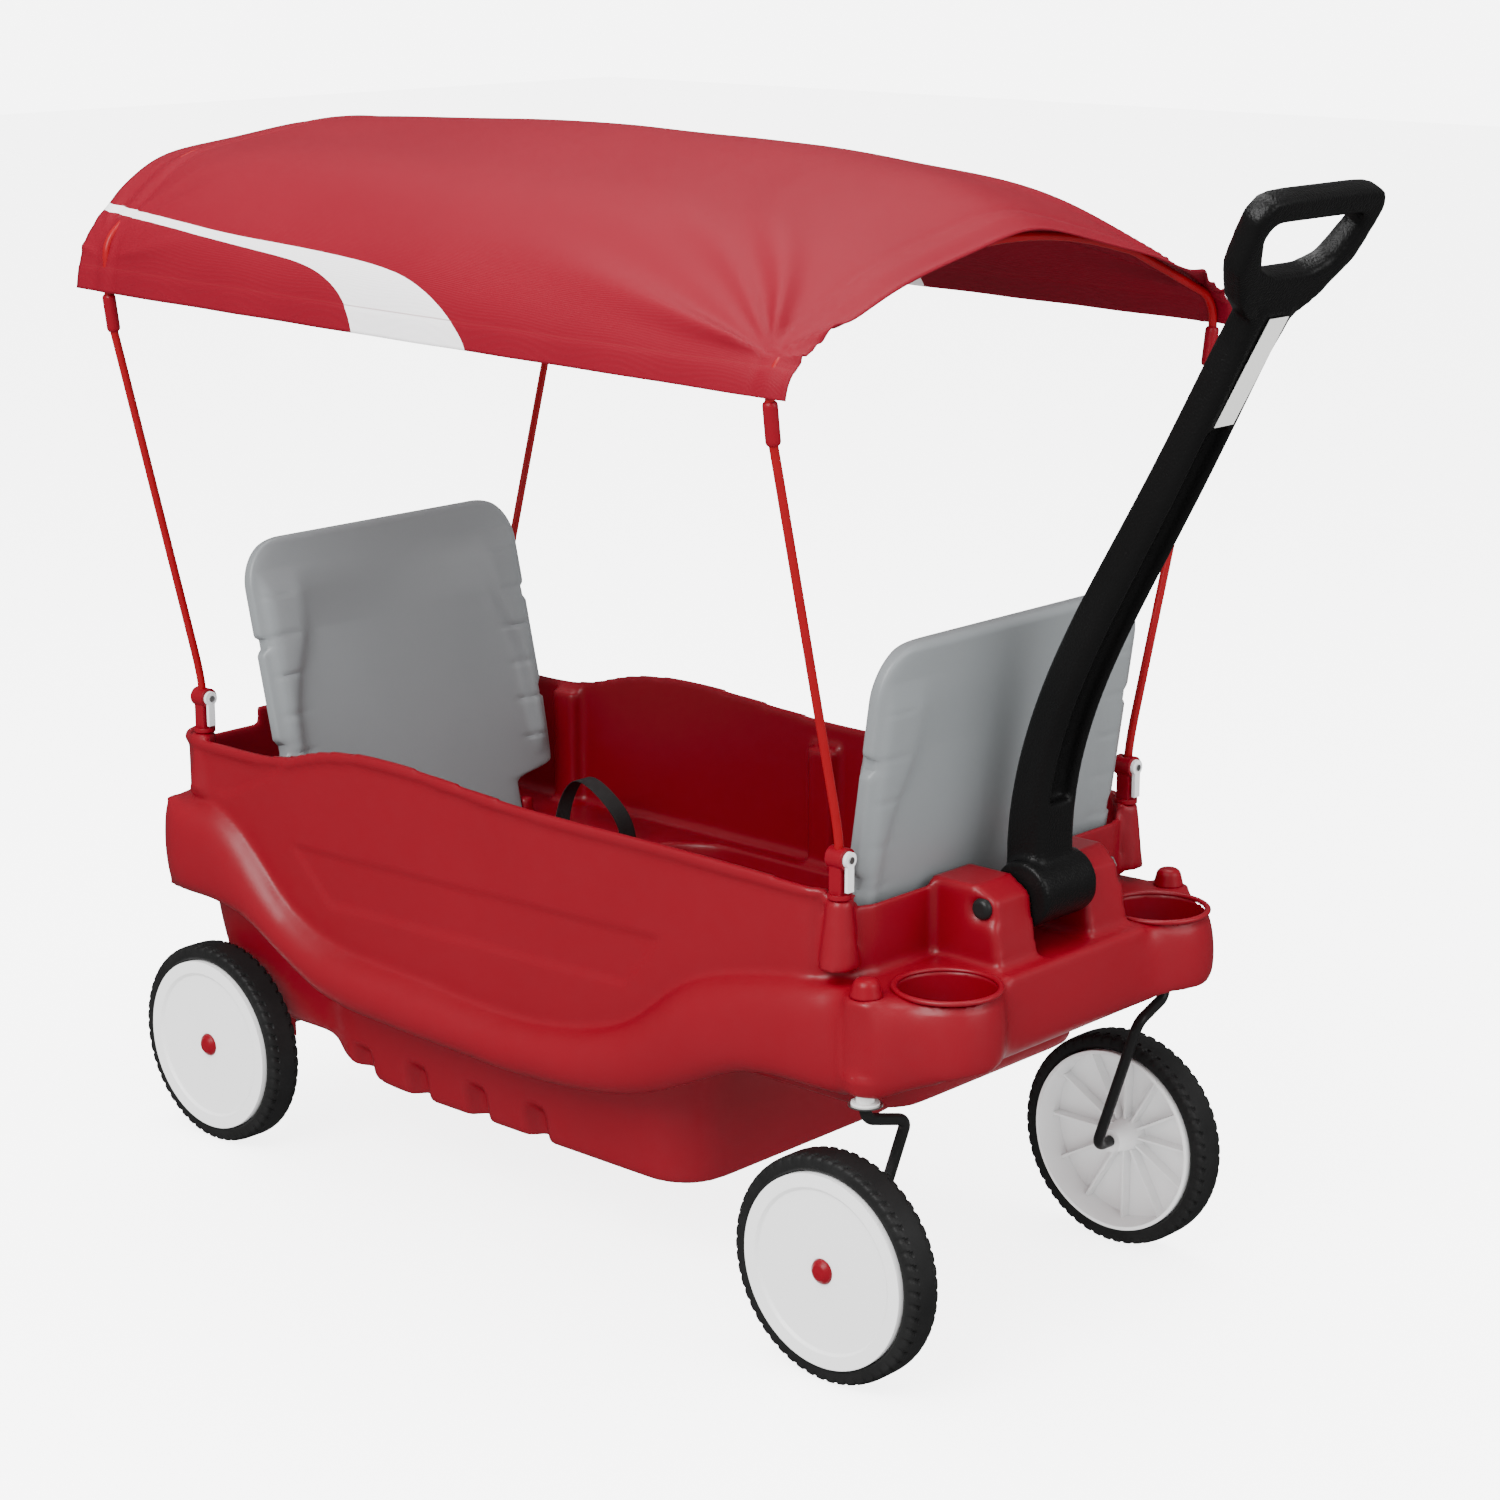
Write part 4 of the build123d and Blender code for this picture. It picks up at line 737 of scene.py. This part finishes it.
def canopy_points(lengthwise=204, crosswise=236):
    """Rounded arches joined from bow to bow, then moved out along their normals by folds, ripples and seams.

    A fold is a bell curve of the angle about a corner, a seam one of the distance from a bow, and a ripple
    a sine.
    Returns the points and each one's distance from the nearer hem, measured along its arch.
    """
    x = np.linspace(CANOPY_ROWS[0, 0] - 0.002, CANOPY_ROWS[-1, 0] + 0.002, lengthwise)
    rows = np.stack([np.interp(x, CANOPY_ROWS[:, 0], CANOPY_ROWS[:, k]) for k in range(1, 7)], 1)
    rows = smoothed(rows, 6, 0)
    hem, shoulder_y, shoulder_z, quarter_y, quarter_z, ridge = rows.T
    still = np.full_like(x, CANOPY_HEM_Y)
    none = np.zeros_like(x)
    y = np.stack([still, shoulder_y, quarter_y, none, -quarter_y, -shoulder_y, -still])
    z = np.stack([hem, shoulder_z, quarter_z, ridge, quarter_z, shoulder_z, hem])
    share = np.linspace(0, 1, crosswise)
    y = np.stack([np.interp(share, CANOPY_SHARES, y[:, k]) for k in range(lengthwise)])
    z = np.stack([np.interp(share, CANOPY_SHARES, z[:, k]) for k in range(lengthwise)])
    y, z = smoothed(y, 9, 1), smoothed(z, 9, 1)
    points = np.stack([x[:, None] + 0 * y, y, z], -1)
    normal = np.cross(np.gradient(points, axis=1), np.gradient(points, axis=0))
    normal = normal / np.linalg.norm(normal, axis=-1, keepdims=True)
    normal = normal * np.sign(normal[..., 2:3] * 2 + normal[..., 1:2] * np.sign(y)[..., None])
    step = np.linalg.norm(np.diff(points, axis=1), axis=-1)
    from_left = np.concatenate([np.zeros((lengthwise, 1)), np.cumsum(step, 1)], 1)
    from_hem = np.minimum(from_left, from_left[:, -1:] - from_left)

    out = np.full_like(y, CANOPY_STAND_OFF)
    for corner_x, angles, size, reach in CORNER_FOLDS:
        run = np.abs(points[..., 0] - corner_x)
        rise = from_hem - FOLD_START
        distance = np.hypot(run, rise) + 1e-6
        angle = np.degrees(np.arctan2(rise, run))
        strength = size * np.clip(distance / 0.05, 0, 1) * np.exp(-(distance / reach) ** 2)
        for k, fold in enumerate(angles):
            drift = 2.5 * np.sin(5 * distance * (1 + k))
            width = 5.6 + 1.6 * (k % 2)
            height = strength * (0.55 + 0.45 * math.cos(2.3 * k))
            out += height * np.exp(-((angle - fold - drift) / width) ** 2)
    hem_band = 1 / (1 + np.exp((from_hem - HEM_DEPTH) / 0.0008))
    out += HEM_RISE * hem_band - STITCH_SINK * np.exp(-((from_hem - HEM_DEPTH) / 0.0016) ** 2)
    out += 0.0011 * np.sin(points[..., 0] * 46) * np.exp(-from_hem / 0.05)
    ripple = np.sin(points[..., 0] * 17 + 9 * y) * np.sin(from_hem * 21)
    out += 0.0012 * ripple * np.clip(from_hem / 0.1, 0, 1)
    for bow_x in BOWS_X:
        near = points[..., 0] - bow_x
        over_bow = np.exp(-(near / 0.0075) ** 2)
        beside_bow = np.exp(-((np.abs(near) - 0.0165) / 0.003) ** 2)
        out += 0.0016 * over_bow - 0.0012 * beside_bow
    return points + normal * out[..., None], from_hem


FLASH = [(-0.026, 0.960), (-0.030, 0.992), (-0.046, 1.012), (-0.080, 1.036), (-0.126, 1.053), (-0.176, 1.061),
         (-0.236, 1.066), (-0.312, 1.070), (-0.412, 1.075), (-0.520, 1.084), (-0.700, 1.094), (-0.700, 1.087),
         (-0.520, 1.077), (-0.412, 1.067), (-0.330, 1.060), (-0.285, 1.055), (-0.250, 1.047), (-0.220, 1.033),
         (-0.203, 1.014), (-0.195, 0.992), (-0.192, 0.960)]


cloth_points, cloth_from_hem = canopy_points()
canopy = surface("canopy_cloth", cloth_points, ring=False, sharp=180.0)
for attribute, values in (("flash", inside_outline(cloth_points[..., 0], cloth_points[..., 2], FLASH)),
                          ("from_hem", cloth_from_hem)):
    canopy.data.attributes.new(attribute, "FLOAT", "POINT").data.foreach_set("value", values.ravel())
wall = canopy.modifiers.new("thickness", "SOLIDIFY")
wall.thickness = CLOTH_THICKNESS
wall.offset = -1.0

cloth = Finish("canopy_cloth", Specular_IOR_Level=0.12)
flash = cloth.node("ShaderNodeAttribute", {"attribute_name": "flash"}, out="Fac").step(0.0)
hem_reading = cloth.node("ShaderNodeAttribute", {"attribute_name": "from_hem"}, out="Fac")
weave = cloth.bands("X", 300.0, 0.6) * cloth.bands("Y", 300.0, 0.6)
mottle = cloth.noise(4.0, 4.0) * 0.7 + weave * 0.3
red_cloth = cloth.blend(mottle, (0.140, 0.0012, 0.0085, 1.0), (0.180, 0.0017, 0.0110, 1.0))
pale_cloth = cloth.blend(weave, (0.80, 0.78, 0.79, 1.0), (0.90, 0.88, 0.89, 1.0))
from_stitches = hem_reading - HEM_DEPTH
stitch_line = 1 - from_stitches.math("ABSOLUTE", from_stitches).step(STITCH_HALF_W)
painted = cloth.blend(flash, red_cloth, pale_cloth)
cloth.feed("Base Color", cloth.blend(stitch_line * 0.5, painted, (0.16, 0.006, 0.012, 1.0)))
cloth.feed("Roughness", weave * 0.12 + 0.5)
cloth.feed("Normal", cloth.bump(weave, 0.00025, 0.6))
fit(canopy, "canopy", "canopy_cloth", cloth.material, "canopy_sheet")


# ---------------------------------------------------------------- studio
# A pale glowing floor that only the camera sees, a white surround and large soft lights.
# The camera stands off the front right corner.

FLOOR_SIZE = 30.0
CAMERA_PLACE = (2.34064, -2.54848, 1.43917)
CAMERA_AZIMUTH = 42.2937
CAMERA_ELEVATION = 14.6919
LENS = 80.507
FLOOR_GLOW = 4.4
WORLD_LIGHT = 1.75  # strength of the surround on matt surfaces
WORLD_GLOSS = 0.10  # in reflections
WORLD_SEEN = 6.6  # behind the object

floor_finish = Finish("studio_floor", Roughness=0.6, Specular_IOR_Level=0.1, Emission_Strength=FLOOR_GLOW,
                      Emission_Color=(1.0, 1.0, 1.0, 1.0))
floor_finish.feed("Base Color", floor_finish.blend(floor_finish.noise(2.0), (0.90, 0.90, 0.90, 1.0),
                                                   (0.93, 0.93, 0.93, 1.0)))
floor_edge = np.linspace(-FLOOR_SIZE / 2, FLOOR_SIZE / 2, 9)
floor_x, floor_y = np.meshgrid(floor_edge, floor_edge, indexing="ij")
floor = surface("studio_floor", np.stack([floor_x, floor_y, 0 * floor_x], -1), ring=False)
floor.data.materials.append(floor_finish.material)
floor.visible_glossy = False
floor.visible_diffuse = False

world = bpy.data.worlds.new("studio")
bpy.context.scene.world = world
world.use_nodes = True
backdrop = world.node_tree.nodes["Background"]
backdrop.inputs["Color"].default_value = (1.0, 1.0, 1.0, 1.0)
rays = world.node_tree.nodes.new("ShaderNodeLightPath")
softer = world.node_tree.nodes.new("ShaderNodeMix")
softer.inputs["A"].default_value = WORLD_LIGHT
softer.inputs["B"].default_value = WORLD_GLOSS
world.node_tree.links.new(rays.outputs["Is Glossy Ray"], softer.inputs["Factor"])
seen = world.node_tree.nodes.new("ShaderNodeMix")
seen.inputs["B"].default_value = WORLD_SEEN
world.node_tree.links.new(rays.outputs["Is Camera Ray"], seen.inputs["Factor"])
world.node_tree.links.new(softer.outputs["Result"], seen.inputs["A"])
world.node_tree.links.new(seen.outputs["Result"], backdrop.inputs["Strength"])


def soft_light(name, place, aim, size, watts):
    """Square area light at place, turned towards aim."""
    lamp = bpy.data.lights.new(name, "AREA")
    lamp.shape = "SQUARE"
    lamp.size = size
    lamp.energy = watts
    made = placed(name, lamp)
    gaze = np.array(aim) - np.array(place)
    flat = math.hypot(gaze[0], gaze[1])
    made.location = place
    made.rotation_euler = (math.atan2(flat, -gaze[2]), 0.0, math.atan2(-gaze[0], gaze[1]))


soft_light("key", (0.6, -3.2, 3.4), (0.0, 0.0, 0.5), 2.6, 260.0)
soft_light("fill", (3.6, 0.8, 2.4), (0.0, 0.0, 0.5), 2.6, 70.0)
soft_light("top", (-0.6, 0.4, 4.2), (0.0, 0.0, 0.4), 3.2, 190.0)

camera = placed("camera", bpy.data.cameras.new("camera"))
camera.location = CAMERA_PLACE
camera.rotation_euler = (math.radians(90.0 - CAMERA_ELEVATION), 0.0, math.radians(CAMERA_AZIMUTH))
camera.data.lens = LENS
camera.data.sensor_width = 36.0
bpy.context.scene.camera = camera
